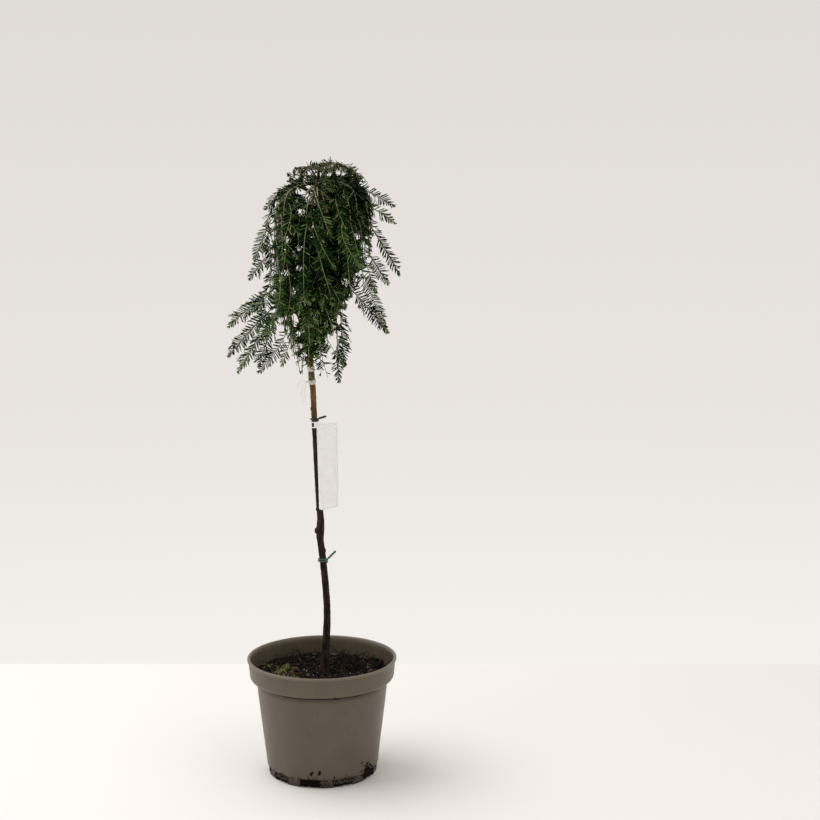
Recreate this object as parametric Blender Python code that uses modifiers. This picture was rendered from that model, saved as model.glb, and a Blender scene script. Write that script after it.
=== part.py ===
"""Potted weeping western hemlock, grafted as a small standard, in a five-litre nursery pot.

Metres, +Z up. The origin is the centre of the pot's flat underside, and the plant's front faces -Y.
Azimuths run anticlockwise from +X, seen from above.
"""

import math
import random

import bmesh
import bpy
from mathutils import Matrix, Vector

MM = 0.001
GAP = 0.3 * MM  # what touching pieces keep between them
UP = Vector((0, 0, 1))
TO_FRONT = Vector((0, -1, 0))

# The pot: a thin turned shell with a deep rim band and drainage slots at its foot
POT_HEIGHT = 175.5 * MM
POT_RIM_RADIUS = 110.7 * MM
POT_BAND_FOOT = 146 * MM  # height of the rim band's lower edge
POT_BODY_TOP_RADIUS = 97.5 * MM
POT_BODY_FOOT_RADIUS = 83.2 * MM
POT_STEP_HEIGHT = 13 * MM  # the wall ends here and the foot ring is set in
POT_FOOT_RADIUS = 80.5 * MM
POT_WALL = 2.0 * MM
POT_SIDES = 40
SLOTS = 10
SLOT_TURN = 0.19  # the first slot stands this share of a slot's pitch from +X
SLOT_SIZE = (14 * MM, 30 * MM, 18 * MM)  # deep, wide, high

# The soil, and the trunk that stands on it
SOIL_TOP = 151.5 * MM
SOIL_DISH = 2.5 * MM  # how much lower the soil is at the wall
# Centre line of the trunk: height, X and Y in millimetres
TRUNK_LINE = (
    (151.8, 3.6, 10.0), (156, 3.6, 10.0), (200, 6.1, 9.0), (231, 7.8, 8.0), (254, 7.5, 7.4),
    (283, 5.7, 6.6), (318, 2.6, 5.8), (356, -1.8, 5.0), (383, -0.6, 4.5), (420, -3.1, 3.8),
    (471, -5.7, 3.0), (532, -8.4, 2.2), (575, -9.9, 1.6), (610, -13.2, 1.2), (649, -13.6, 1.0),
    (707, -11.6, 0.6), (779, -6.7, 0.3), (836, -1.9, 0.0), (864, -0.2, 0.0), (890, 0.9, 0.0),
    (896, 3.0, 0.0), (899.5, 7.0, 0.0), (901.5, 12.0, 0.0),
)
# Girth of the trunk: height and radius in millimetres
TRUNK_GIRTH = (
    (151.8, 8.6), (156, 7.4), (166, 6.5), (190, 5.7), (250, 5.1), (350, 5.0), (368, 6.2),
    (386, 5.0), (470, 4.3), (560, 4.1), (600, 4.6), (640, 4.0), (779, 3.1), (864, 2.5), (890, 1.9),
    (901.5, 1.4),
)
TRUNK_SIDES = 3  # the curve's bevel resolution: ten sides
# Knots where twigs were pruned: height, azimuth in degrees, radius in millimetres
KNOTS = ((366, 180, 5.2), (336, 10, 3.4), (398, 170, 3.0), (233, 60, 3.2), (548, 185, 3.0))

# The crown's three layers of foliage and the surfaces that part them
OUTER_MASSES = 8
LOWER_MASSES = 6
CAP_HEIGHT = 891 * MM  # the top masses stay above a low cone with its point here
CAP_SLOPE = 0.25
CAP_TILT = 0.12  # the cone rises this much towards +X
BOUGH_RISE = 5 * MM  # and the boughs' tips and the crown's shoulder with it
TOP_REACH = 68 * MM
CORE_RADIUS = 46 * MM  # the lower masses fill a core round the trunk, and open out under the outer ones
CORE_CEILING = 838 * MM
CONE_TOP = 765 * MM
CONE_RADIUS = 78 * MM
OUTER_FLOOR = 716 * MM
SPACE_GAP = 2 * MM
TRUNK_CLEAR = 1.6 * MM
LIMB_CLEAR = 2.5 * MM
CROWN_SHIFT = 10 * MM  # the bell leans this far to +X of the trunk from the second height up
SHIFT_HEIGHTS = (700 * MM, 760 * MM)
LOWER_TILT = 16 * MM  # and its foot is this much higher there

# A spray of needles is a toothed blade round its shoot
TOOTH_PITCH = 13.5 * MM
LEAST_PITCHES = 4
TOOTH_ROOM = 6 * MM  # what a tooth keeps from the shoots before it
SPRAY_HALF_WIDTH = 14 * MM
TOP_HALF_WIDTH = 11 * MM
LONG_HALF_WIDTH = 9.5 * MM
SHOOT_RADIUS = 1.05 * MM
SHOOT_TIP_RADIUS = 0.75 * MM
STEM_RADIUS = 1.8 * MM
TOOTH_SWEEP = 0.85  # how far along its pitch a tooth's point lies

# Tips of an outer mass: root's place on the stem, share of the half angle, radius and height in millimetres
OUTER_TIPS = (
    (0.08, -0.72, 62, 846), (0.12, 0.72, 64, 842), (0.02, -0.38, 60, 742), (0.05, 0.40, 62, 732),
    (0.28, -0.62, 72, 768), (0.34, 0.62, 74, 754), (0.20, -0.30, 80, 822),
)
OUTER_STEM_TIP = (77, 738)
# Tips of a lower mass, in the same way
LOWER_TIPS = (
    (0.04, -0.42, 32, 636), (0.10, 0.42, 30, 622), (0.30, -0.62, 52, 678), (0.36, 0.62, 54, 668),
    (0.24, 0.05, 42, 650), (0.48, -0.30, 70, 700),
)
LOWER_STEM_TIP = (64, 668)
# Long shoots that give the crown its outline: mass, root's place on its stem, X, Y and Z in millimetres
OUTER_LONG = (
    (0, 0.45, 117, 14, 739), (0, 0.78, 101, -18, 728), (0, 0.30, 112, -8, 815), (0, 0.15, 111, 10, 839),
    (4, 0.20, -79, 4, 834), (4, 0.45, -92, -14, 761), (4, 0.80, -103, 12, 733),
)
LOWER_LONG = (
    (0, 0.30, 35, 15, 605), (2, 0.36, -135, 16, 664), (2, 0.55, -92, 28, 603), (3, 0.36, -131, -28, 626),
    (3, 0.58, -115, -46, 605), (4, 0.60, -15, -25, 612), (5, 0.12, 101, -20, 659), (5, 0.30, 28, -13, 586),
)
# Heights where the lower boughs leave the trunk, by azimuth, in millimetres
LOWER_BOUGH_HEIGHTS = (790, 757, 780, 745, 802, 768)
# Tips of the two top masses, X, Y and Z in millimetres: round the leader's arch, and left of it
ARCH_TIPS = (
    (19, 3, 911), (12, -45, 883), (10, 46, 883), (36, -35, 885), (34, 37, 885), (54, -14, 886),
    (51, 6, 888),
)
CREST_TIPS = (
    (-21, 4, 906), (-12, -40, 882), (-10, 41, 882), (-25, -28, 881), (-24, 29, 881), (-36, -3, 882),
)

# Small fittings on the trunk
TAPE_HEIGHTS = (588 * MM, 607 * MM)
TAPE_WIDTH = 7 * MM
TAPE_THICKNESS = 0.8 * MM
# Wire ties: height, turns round the trunk, and the tail's run along X, Y and Z, in millimetres
TIES = ((321, 2, (11, 1.5, 11)), (532.6, 1, (10, 1.5, 3)))
TIE_RADIUS = 1.2 * MM
TIE_PITCH = 2.8 * MM
TIE_START = -20  # azimuth in degrees
LABEL_SIZE = (32 * MM, 0.8 * MM, 128 * MM)
LABEL_CENTRE = (10.2 * MM, 6.9 * MM, 462.6 * MM)
LABEL_LEAN = 1.6  # degrees
LABEL_TURN = 34  # degrees, its right edge to the back
STRAP_HEIGHT = 525 * MM
STRAP_WIDTH = 9 * MM
STRAP_THICKNESS = 1.1 * MM

COLOURS = {  # base colour, roughness
    "pot_plastic": ((0.115, 0.098, 0.073), 0.55),
    "potting_soil": ((0.016, 0.010, 0.007), 0.95),
    "bark": ((0.060, 0.036, 0.020), 0.85),
    "needles": ((0.022, 0.052, 0.014), 0.60),
    "white_plastic": ((0.78, 0.77, 0.74), 0.45),
    "green_wire": ((0.010, 0.030, 0.016), 0.50),
}


def clear_scene():
    for obj in list(bpy.data.objects):
        bpy.data.objects.remove(obj, do_unlink=True)


def make_collection(name, hidden=False):
    collection = bpy.data.collections.new(name)
    bpy.context.scene.collection.children.link(collection)
    collection.hide_render = hidden
    return collection


def make_material(name):
    colour, roughness = COLOURS[name]
    material = bpy.data.materials.new(name)
    material.use_nodes = True
    shader = material.node_tree.nodes["Principled BSDF"]
    shader.inputs["Base Color"].default_value = (*colour, 1)
    shader.inputs["Roughness"].default_value = roughness
    shader.inputs["Metallic"].default_value = 0
    return material


def add_object(name, mesh, collection, material=None):
    obj = bpy.data.objects.new(name, mesh)
    collection.objects.link(obj)
    if material:
        mesh.materials.clear()
        mesh.materials.append(material)
    return obj


def applied_mesh(obj):
    """The object's mesh with its modifiers applied, in its own axes."""
    bpy.context.view_layer.update()
    graph = bpy.context.evaluated_depsgraph_get()
    return bpy.data.meshes.new_from_object(obj.evaluated_get(graph))


def between(table, height):
    """The row of a table, less its first column, read at a height between its rows."""
    rows = [tuple(value * MM for value in row) for row in table]
    height = min(max(height, rows[0][0]), rows[-1][0])
    for low, high in zip(rows, rows[1:]):
        if height <= high[0]:
            share = (height - low[0]) / (high[0] - low[0])
            return [a + (b - a) * share for a, b in zip(low[1:], high[1:])]
    return list(rows[-1][1:])


def trunk_centre(height):
    x, y = between(TRUNK_LINE, height)
    return Vector((x, y, height))


def trunk_radius(height):
    return between(TRUNK_GIRTH, height)[0]


def direction(azimuth, slope=0.0):
    """A unit vector out from the trunk, slope degrees above the level."""
    flat, rise = math.radians(azimuth), math.radians(slope)
    return Vector((math.cos(flat) * math.cos(rise), math.sin(flat) * math.cos(rise), math.sin(rise)))


def crown_point(azimuth, radius, height):
    low, high = SHIFT_HEIGHTS
    share = min(1, max(0, (height - low) / (high - low)))
    reach = radius + CROWN_SHIFT * share * math.cos(math.radians(azimuth))
    return trunk_centre(height) + direction(azimuth) * reach


def bezier(corners, steps):
    a, b, c, d = corners
    points = []
    for step in range(steps + 1):
        t = step / steps
        s = 1 - t
        points.append(a * s**3 + b * 3 * s * s * t + c * 3 * s * t * t + d * t**3)
    return points


def length_of(points):
    return sum((b - a).length for a, b in zip(points, points[1:]))


def point_along(points, share):
    """The place at a share of a path's length."""
    left = length_of(points) * share
    for a, b in zip(points, points[1:]):
        step = (b - a).length
        if left <= step:
            return a.lerp(b, left / step)
        left -= step
    return points[-1].copy()


def evenly_spaced(points, pitch):
    count = max(LEAST_PITCHES, round(length_of(points) / pitch))
    return [point_along(points, i / count) for i in range(count + 1)]


def tube(name, points, radii, sides, collection, material):
    """A tapering round piece along a path, closed at both ends."""
    curve = bpy.data.curves.new(name, "CURVE")
    curve.dimensions = "3D"
    curve.bevel_depth = 1
    curve.bevel_resolution = sides
    curve.use_fill_caps = True
    spline = curve.splines.new("POLY")
    spline.points.add(len(points) - 1)
    for place, point, radius in zip(spline.points, points, radii):
        place.co = (*point, 1)
        place.radius = radius
    guide = add_object(name + "_path", curve, collection)
    mesh = applied_mesh(guide)
    bpy.data.objects.remove(guide)
    bm = bmesh.new()
    bm.from_mesh(mesh)
    bmesh.ops.remove_doubles(bm, verts=bm.verts, dist=0.00001)
    bmesh.ops.recalc_face_normals(bm, faces=bm.faces)
    bm.to_mesh(mesh)
    bm.free()
    mesh.shade_smooth()
    return add_object(name, mesh, collection, material)


def turned(name, profile, collection, material):
    """A solid of revolution from (radius, height) points that run down its outer side."""
    mesh = bpy.data.meshes.new(name)
    edges = [(i, i + 1) for i in range(len(profile) - 1)]
    mesh.from_pydata([(radius, 0, height) for radius, height in profile], edges, [])
    obj = add_object(name, mesh, collection, material)
    screw = obj.modifiers.new("turn", "SCREW")
    screw.steps = screw.render_steps = POT_SIDES
    screw.use_merge_vertices = True
    screw.merge_threshold = 0.00005
    return obj


def cut(obj, cutter, cutters):
    """Cuts one shape from a piece."""
    cutters.objects.link(cutter)
    cutter.hide_render = True
    cutter.display_type = "WIRE"
    modifier = obj.modifiers.new("cut", "BOOLEAN")
    modifier.operation = "DIFFERENCE"
    modifier.object = cutter


def largest_body(mesh):
    """Keeps a mesh's largest body, so that scraps and sealed hollows go. Returns whether it is sound."""
    bm = bmesh.new()
    bm.from_mesh(mesh)
    bmesh.ops.triangulate(bm, faces=bm.faces)
    left, bodies = set(bm.faces), []
    while left:
        front = [left.pop()]
        body = []
        while front:
            face = front.pop()
            body.append(face)
            sides = [edge.link_faces for edge in face.edges if len(edge.link_faces) == 2]
            near = {other for pair in sides for other in pair} & left
            left -= near
            front.extend(near)
        bodies.append(body)
    bodies.sort(key=len)
    scraps = [face for body in bodies[:-1] for face in body]
    bmesh.ops.delete(bm, geom=scraps, context="FACES")
    sound = all(len(edge.link_faces) == 2 for edge in bm.edges)
    bm.to_mesh(mesh)
    bm.free()
    return sound


def joined(obj, others, name, collection, material):
    """One body of a shape and the shapes that are sunk into it, by one union on a collection."""
    group = bpy.data.collections.new(name + "_pieces")
    for other in others:
        for home in list(other.users_collection):
            home.objects.unlink(other)
        group.objects.link(other)
    union = obj.modifiers.new("join", "BOOLEAN")
    union.operation = "UNION"
    union.operand_type = "COLLECTION"
    union.collection = group
    for solver in ("EXACT", "MANIFOLD"):
        union.solver = solver
        mesh = applied_mesh(obj)
        if largest_body(mesh):
            break
    for piece in [obj, *others]:
        bpy.data.objects.remove(piece)
    bpy.data.collections.remove(group)
    return add_object(name, mesh, collection, material)


# Pot and soil

def pot_outline():
    """The pot's outer side from the rim's lip to the foot."""
    lip = 2.4 * MM
    return [
        (POT_RIM_RADIUS - lip, POT_HEIGHT),
        (POT_RIM_RADIUS, POT_HEIGHT - 1.2 * MM),
        (POT_RIM_RADIUS, POT_HEIGHT - 3.6 * MM),
        (POT_RIM_RADIUS - 1.5 * MM, POT_HEIGHT - 5 * MM),
        (POT_RIM_RADIUS - 3.2 * MM, POT_BAND_FOOT + 3 * MM),
        (POT_RIM_RADIUS - 5.5 * MM, POT_BAND_FOOT - 1.5 * MM),
        (POT_BODY_TOP_RADIUS + 0.4 * MM, POT_BAND_FOOT - 5 * MM),
        (POT_BODY_TOP_RADIUS - 0.3 * MM, POT_BAND_FOOT - 7 * MM),
        (POT_BODY_FOOT_RADIUS, POT_STEP_HEIGHT + 2 * MM),
        (POT_BODY_FOOT_RADIUS - 1 * MM, POT_STEP_HEIGHT),
        (POT_FOOT_RADIUS, POT_STEP_HEIGHT - 1 * MM),
        (POT_FOOT_RADIUS - 1 * MM, 0),
    ]


def wall_inside(height):
    """The radius of the pot's hollow at a height."""
    outline = [(z, r) for r, z in reversed(pot_outline()[4:])]
    for (low, first), (high, second) in zip(outline, outline[1:]):
        if low <= height <= high:
            return first + (second - first) * (height - low) / (high - low) - POT_WALL
    return outline[-1][1] - POT_WALL


def build_pot(collection, cutters, material):
    inside = [
        (0, POT_WALL),
        (POT_FOOT_RADIUS - 1 * MM - POT_WALL, POT_WALL),
        (wall_inside(POT_STEP_HEIGHT + 2 * MM), POT_STEP_HEIGHT + 3 * MM),
        (wall_inside(POT_BAND_FOOT - 7 * MM), POT_BAND_FOOT - 6 * MM),
        (wall_inside(POT_BAND_FOOT + 3 * MM), POT_BAND_FOOT + 3.5 * MM),
        (POT_RIM_RADIUS - 4.4 * MM, POT_HEIGHT - 1 * MM),
    ]
    pot = turned("pot", inside + pot_outline() + [(0, 0)], collection, material)
    bm = bmesh.new()
    for index in range(SLOTS):
        azimuth = 360 / SLOTS * (index + SLOT_TURN)
        made = bmesh.ops.create_cube(bm, size=1)["verts"]
        bmesh.ops.scale(bm, vec=SLOT_SIZE, verts=made)
        place = direction(azimuth) * POT_FOOT_RADIUS
        turn = direction(azimuth).to_track_quat("X", "Z").to_matrix()
        bmesh.ops.rotate(bm, matrix=turn, verts=made)
        bmesh.ops.translate(bm, vec=place + UP * (POT_WALL + 2 * MM), verts=made)
    mesh = bpy.data.meshes.new("drainage_slots")
    bm.to_mesh(mesh)
    bm.free()
    cut(pot, bpy.data.objects.new("drainage_slots", mesh), cutters)
    return pot


def build_soil(collection, material):
    low = POT_STEP_HEIGHT + 4 * MM
    high = POT_BAND_FOOT - 6 * MM
    edge = SOIL_TOP - SOIL_DISH
    profile = [
        (0, SOIL_TOP),
        (30 * MM, SOIL_TOP),
        (wall_inside(edge) - 2.4 * GAP, edge),
        (wall_inside(high) - 3 * GAP, high),
        (wall_inside(low) - 3 * GAP, low),
        (POT_FOOT_RADIUS - 1 * MM - POT_WALL - 3 * GAP, POT_WALL + GAP),
        (0, POT_WALL + GAP),
    ]
    return turned("potting_soil", profile, collection, material)


# Trunk and boughs

def build_trunk(collection, material):
    heights = sorted({row[0] * MM for row in TRUNK_LINE} | {row[0] * MM for row in TRUNK_GIRTH})
    points = [trunk_centre(height) for height in heights]
    radii = [trunk_radius(height) for height in heights]
    trunk = tube("trunk_line", points, radii, TRUNK_SIDES, collection, material)
    knots = []
    for height, azimuth, size in KNOTS:
        centre = trunk_centre(height * MM)
        place = centre + direction(azimuth) * (trunk_radius(height * MM) - 1.6 * MM)
        bm = bmesh.new()
        bmesh.ops.create_icosphere(bm, subdivisions=1, radius=size * MM)
        bmesh.ops.scale(bm, vec=(1, 1, 1.25), verts=bm.verts)
        bmesh.ops.translate(bm, vec=place, verts=bm.verts)
        mesh = bpy.data.meshes.new("knot")
        bm.to_mesh(mesh)
        bm.free()
        knots.append(add_object("knot", mesh, collection))
    return joined(trunk, knots, "trunk", collection, material)


def bough_root(height, azimuth, radius, slope):
    """Where a bough's foot stands clear of the trunk."""
    centre = trunk_centre(height)
    clear = trunk_radius(height) + 2 * GAP + radius * abs(math.sin(math.radians(slope)))
    return centre + direction(azimuth) * clear


def outer_bough(index):
    """Path and radii of the bough that carries an outer mass."""
    azimuth = 360 / OUTER_MASSES * index
    height = (848 + 3.4 * (index * 3 % OUTER_MASSES)) * MM
    root = bough_root(height, azimuth, 1.9 * MM, 15)
    rise = BOUGH_RISE * math.cos(math.radians(azimuth))
    tip = trunk_centre(874 * MM + rise) + direction(azimuth) * (CORE_RADIUS - 8 * MM)
    corners = (root, root + direction(azimuth, 15) * 14 * MM, tip - direction(azimuth, -5) * 12 * MM, tip)
    path = bezier(corners, 4)
    return path, [(1.9 - 0.05 * i) * MM for i in range(5)]


def lower_bough(index):
    """Path and radii of the bough that carries a lower mass."""
    azimuth = 360 / LOWER_MASSES * (index + 0.5)
    height = LOWER_BOUGH_HEIGHTS[index] * MM
    root = bough_root(height, azimuth, 1.9 * MM, 0)
    tip = trunk_centre(height - 3 * MM) + direction(azimuth) * 20 * MM
    corners = (root, root + direction(azimuth) * 5 * MM, tip - direction(azimuth, -30) * 6 * MM, tip)
    path = bezier(corners, 3)
    return path, [(1.9 - 0.05 * i) * MM for i in range(4)]


def crest_bough():
    """A short bough left of the leader."""
    root = bough_root(882 * MM, 180, 1.3 * MM, 30)
    tip = Vector((-9 * MM, 1 * MM, 893 * MM))
    corners = (root, root + direction(180, 30) * 2 * MM, tip - direction(180, 45) * 2 * MM, tip)
    path = bezier(corners, 3)
    return path, [1.3 * MM] * 4


def leader():
    """The last stretch of the trunk, which bends over to +X."""
    path = [trunk_centre(height * MM) for height in (890, 896, 899.5, 901.5)]
    return path, [trunk_radius(place.z) for place in path]


# Spaces that keep the masses apart

def around_trunk(point):
    """Azimuth and radius of a point round the trunk's centre line at its own height."""
    offset = point - trunk_centre(point.z)
    return math.degrees(math.atan2(offset.y, offset.x)), math.hypot(offset.x, offset.y)


def in_wedge(point, azimuth, half_angle):
    """Whether a point lies between two upright planes through the trunk, clear of both."""
    at, radius = around_trunk(point)
    off = abs((at - azimuth + 180) % 360 - 180)
    if off >= half_angle:
        return False
    return radius * math.sin(math.radians(half_angle - off)) > SPACE_GAP / 2


def divide(radius):
    """The height that parts the outer masses, above, from the lower ones, at a radius."""
    if radius < CORE_RADIUS:
        return CORE_CEILING
    share = (radius - CORE_RADIUS) / (CONE_RADIUS - CORE_RADIUS)
    return max(OUTER_FLOOR, CONE_TOP + (OUTER_FLOOR - CONE_TOP) * share)


def cap_floor(point):
    return CAP_HEIGHT - CAP_SLOPE * around_trunk(point)[1] + CAP_TILT * point.x


def in_outer_space(point, azimuth):
    radius = around_trunk(point)[1]
    above = point.z > divide(radius - SPACE_GAP) + SPACE_GAP / 2
    below_top = point.z < cap_floor(point) - SPACE_GAP / 2 or radius > TOP_REACH + SPACE_GAP
    beyond_boughs = radius > CORE_RADIUS - 9 * MM
    return above and below_top and beyond_boughs and in_wedge(point, azimuth, 180 / OUTER_MASSES)


def in_lower_space(point, azimuth):
    radius = around_trunk(point)[1]
    below = point.z < divide(radius + SPACE_GAP) - SPACE_GAP / 2
    clear = radius > trunk_radius(point.z) + TRUNK_CLEAR
    return below and clear and in_wedge(point, azimuth, 180 / LOWER_MASSES)


def in_top_space(point, side):
    """The two top masses part at an upright plane just left of the trunk's tip."""
    radius = around_trunk(point)[1]
    edge = -3.5 * MM
    beside = point.x * side > edge * side + SPACE_GAP / 2
    return point.z > cap_floor(point) + SPACE_GAP / 2 and radius < TOP_REACH and beside


def near_limb(point, limbs):
    """Whether a point is too near a limb, leaving out the limb's tip, where the mass's stem goes on."""
    for path, radii in limbs:
        for place, radius in zip(path[:-1], radii):
            if (point - place).length < radius + LIMB_CLEAR:
                return True
    return False


# Sprays

def blade_frame(points, index, face, ahead=None):
    """Side and face directions of a spray at one point of its shoot."""
    ahead = ahead or points[min(index + 1, len(points) - 1)] - points[max(index - 1, 0)]
    side = ahead.cross(face).normalized()
    return side, side.cross(ahead).normalized()


def spray(points, radii, face, half_width, allowed, taken):
    """A shoot with a toothed blade of needles, as one closed mesh, or None where it finds no room.

    It has no teeth at its root, and shorter ones at its tip. Its own points are added to those
    taken by the mass, which later teeth stay away from.
    """
    kept = []
    for place in evenly_spaced(points, TOOTH_PITCH):
        if kept and not allowed(place):
            break
        kept.append(place)
    if len(kept) < LEAST_PITCHES:
        return None
    last = len(kept) - 1
    bm = bmesh.new()
    rings = []
    for index in range(last):
        side, front = blade_frame(kept, index, face, None if index else points[1] - points[0])
        radius = radii[0] + (radii[1] - radii[0]) * index / last
        corners = (front * radius, side * radius, -front * radius, -side * radius)
        rings.append([bm.verts.new(kept[index] + corner) for corner in corners])
    tip = bm.verts.new(kept[last])
    bm.faces.new(rings[0])
    teeth = []
    for index in range(last - 1):
        full = half_width * (1 - 0.55 * ((index + 0.5) / last) ** 3) if index else 0
        for turn in (1, 3):
            point = tooth_point(kept, index, face, full, turn, allowed, taken)
            wing(bm, rings[index], rings[index + 1], turn, point)
            if point:
                teeth += [point, point.lerp(kept[index], 0.5)]
    for corner in range(4):
        bm.faces.new((rings[-1][corner], rings[-1][corner - 1], tip))
    bmesh.ops.recalc_face_normals(bm, faces=bm.faces)
    mesh = bpy.data.meshes.new("spray")
    bm.to_mesh(mesh)
    bm.free()
    taken += [point for here, there in zip(kept, kept[1:]) for point in (here, here.lerp(there, 0.5))]
    taken += teeth
    return mesh


def tooth_point(points, index, face, half_width, turn, allowed, taken):
    """The point of the tooth on one side of a pitch, or None where it would leave the space."""
    side, _ = blade_frame(points, index, face)
    along = points[index].lerp(points[index + 1], TOOTH_SWEEP)
    for shorter in (1, 0.8, 0.6):
        out = side * half_width * shorter * (1 if turn == 1 else -1)
        tests = (along + out, along + out * 0.6)
        if half_width and all(allowed(test) and is_free(test, taken) for test in tests):
            return along + out
    return None


def is_free(point, taken):
    return all((point - place).length > TOOTH_ROOM for place in taken)


def wing(bm, here, there, turn, point):
    """One side of the blade over one pitch: a ridged tooth, or plain shoot where there is no tooth."""
    edge, next_edge = here[turn], there[turn]
    for ridge in (0, 2):
        if point is None:
            bm.faces.new((here[ridge], edge, next_edge, there[ridge]))
            continue
        tooth = point if isinstance(point, bmesh.types.BMVert) else bm.verts.new(point)
        point = tooth
        bm.faces.new((here[ridge], edge, tooth))
        bm.faces.new((here[ridge], tooth, next_edge))
        bm.faces.new((here[ridge], next_edge, there[ridge]))


def weeping_path(root, tip, rise, hang):
    """A shoot that leaves its root outwards, rising or falling, and comes down to its tip."""
    straight = tip - root
    out = Vector((straight.x, straight.y, 0))
    if out.length < 1 * MM:
        out = direction(around_trunk(root)[0])
    leave = (out.normalized() + UP * rise).normalized()
    arrive = straight.normalized().lerp(-UP, hang).normalized()
    reach = straight.length * 0.35
    return bezier((root, root + leave * reach, tip - arrive * reach, tip), 14)


def outer_stem(index, tip):
    """The main shoot of an outer mass goes on from its bough, over the crown's shoulder and down."""
    path, _ = outer_bough(index)
    heading = (path[-1] - path[-2]).normalized()
    root = path[-1] + heading * GAP
    azimuth = around_trunk(tip)[0]
    rise = BOUGH_RISE * math.cos(math.radians(azimuth))
    inwards = (6 - 3 * math.cos(math.radians(azimuth))) * MM
    shoulder = Vector((tip.x, tip.y, 852 * MM + rise)) - direction(azimuth) * inwards
    return bezier((root, root + heading * 20 * MM, shoulder, tip), 24)


def lower_stem(index, tip):
    """The main shoot of a lower mass goes on from its bough, outwards and down."""
    path, _ = lower_bough(index)
    heading = (path[-1] - path[-2]).normalized()
    root = path[-1] + heading * GAP
    return bezier((root, root + heading * 16 * MM, tip.lerp(root, 0.35) + UP * 5 * MM, tip), 20)


def grow_mass(name, stem, shoots, allowed, collection, material):
    """Joins a stem and its side shoots, each given as path, facing and half width, into one mass."""
    path, facing, half_width = stem
    taken = []
    mesh = spray(path, (STEM_RADIUS, SHOOT_TIP_RADIUS), facing, half_width, allowed, taken)
    core = add_object(name + "_stem", mesh, collection)
    pieces = []
    for path, facing, half_width in shoots:
        mesh = spray(path, (SHOOT_RADIUS, SHOOT_TIP_RADIUS), facing, half_width, allowed, taken)
        if mesh:
            pieces.append(add_object(name + "_shoot", mesh, collection))
    return joined(core, pieces, name, collection, material)


def rule_shoots(stem, azimuth, half_angle, tips, tilt, rises, rng):
    """Side shoots by rule: each leaves the stem at its own place and hangs to its own tip."""
    shoots = []
    line = evenly_spaced(stem, TOOTH_PITCH)
    for root_share, share, radius, height in tips:
        at = azimuth + half_angle * (share + rng.uniform(-0.08, 0.08))
        level = height * MM + tilt * math.cos(math.radians(at)) + rng.uniform(-12, 12) * MM
        tip = crown_point(at, (radius + rng.uniform(-4, 4)) * MM, level)
        root = point_along(line, root_share)
        facing = direction(at + rng.uniform(-55, 55)) + UP * 0.5
        path = weeping_path(root, tip, rng.uniform(*rises), 0.6)
        shoots.append((path, facing, SPRAY_HALF_WIDTH))
    return shoots


def long_shoots(stem, index, table):
    """The shoots that reach the crown's outline, turned to the front."""
    shoots = []
    line = evenly_spaced(stem, TOOTH_PITCH)
    for mass, root_share, x, y, z in table:
        if mass != index:
            continue
        root, tip = point_along(line, root_share), Vector((x, y, z)) * MM
        straight = tip - root
        rise = straight.z / math.hypot(straight.x, straight.y) + 0.08
        facing = (TO_FRONT + direction(around_trunk(tip)[0]) * 0.25).normalized()
        shoots.append((weeping_path(root, tip, rise, 0.15), facing, LONG_HALF_WIDTH))
    return shoots


def build_outer_mass(index, collection, material):
    azimuth, half_angle = 360 / OUTER_MASSES * index, 180 / OUTER_MASSES
    rng = random.Random(40 + index)
    radius, height = OUTER_STEM_TIP
    stem = outer_stem(index, crown_point(azimuth, radius * MM, (height + rng.uniform(-10, 12)) * MM))
    shoots = rule_shoots(stem, azimuth, half_angle, OUTER_TIPS, 0, (-0.4, 0.0), rng)
    shoots += long_shoots(stem, index, OUTER_LONG)
    allowed = lambda point: in_outer_space(point, azimuth)
    spine = (stem, direction(azimuth) + UP, SPRAY_HALF_WIDTH)
    return grow_mass(f"foliage_outer_{index + 1}", spine, shoots, allowed, collection, material)


def build_lower_mass(index, collection, material):
    azimuth, half_angle = 360 / LOWER_MASSES * (index + 0.5), 180 / LOWER_MASSES
    rng = random.Random(80 + index)
    radius, height = LOWER_STEM_TIP
    stem = lower_stem(index, crown_point(azimuth, radius * MM, (height + rng.uniform(-8, 8)) * MM))
    shoots = rule_shoots(stem, azimuth, half_angle, LOWER_TIPS, LOWER_TILT, (-0.9, -0.5), rng)
    shoots += long_shoots(stem, index, LOWER_LONG)
    limbs = [lower_bough(index)]
    allowed = lambda point: in_lower_space(point, azimuth) and not near_limb(point, limbs)
    spine = (stem, direction(azimuth) + UP, SPRAY_HALF_WIDTH)
    return grow_mass(f"foliage_lower_{index + 1}", spine, shoots, allowed, collection, material)


def build_top_mass(name, limb, side, tips, collection, material):
    path, _ = limb
    heading = (path[-1] - path[-2]).normalized()
    root = path[-1] + heading * GAP
    end = Vector(tips[-1]) * MM
    stem = bezier((root, root + heading * 12 * MM, end + Vector((-12 * side, 0, 10)) * MM, end), 16)
    limbs = [limb, leader()]
    allowed = lambda point: in_top_space(point, side) and not near_limb(point, limbs)
    shoots = []
    line = evenly_spaced(stem, TOOTH_PITCH)
    for number, tip in enumerate(tips[:-1]):
        start, place = point_along(line, 0.08 + 0.15 * number), Vector(tip) * MM
        facing = UP * 0.7 + direction(around_trunk(place)[0])
        rise = 1.6 if place.z > root.z else -0.15
        shoots.append((weeping_path(start, place, rise, 0.4), facing, TOP_HALF_WIDTH))
    return grow_mass(name, (stem, UP, TOP_HALF_WIDTH), shoots, allowed, collection, material)


# Label, tape and ties

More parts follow.
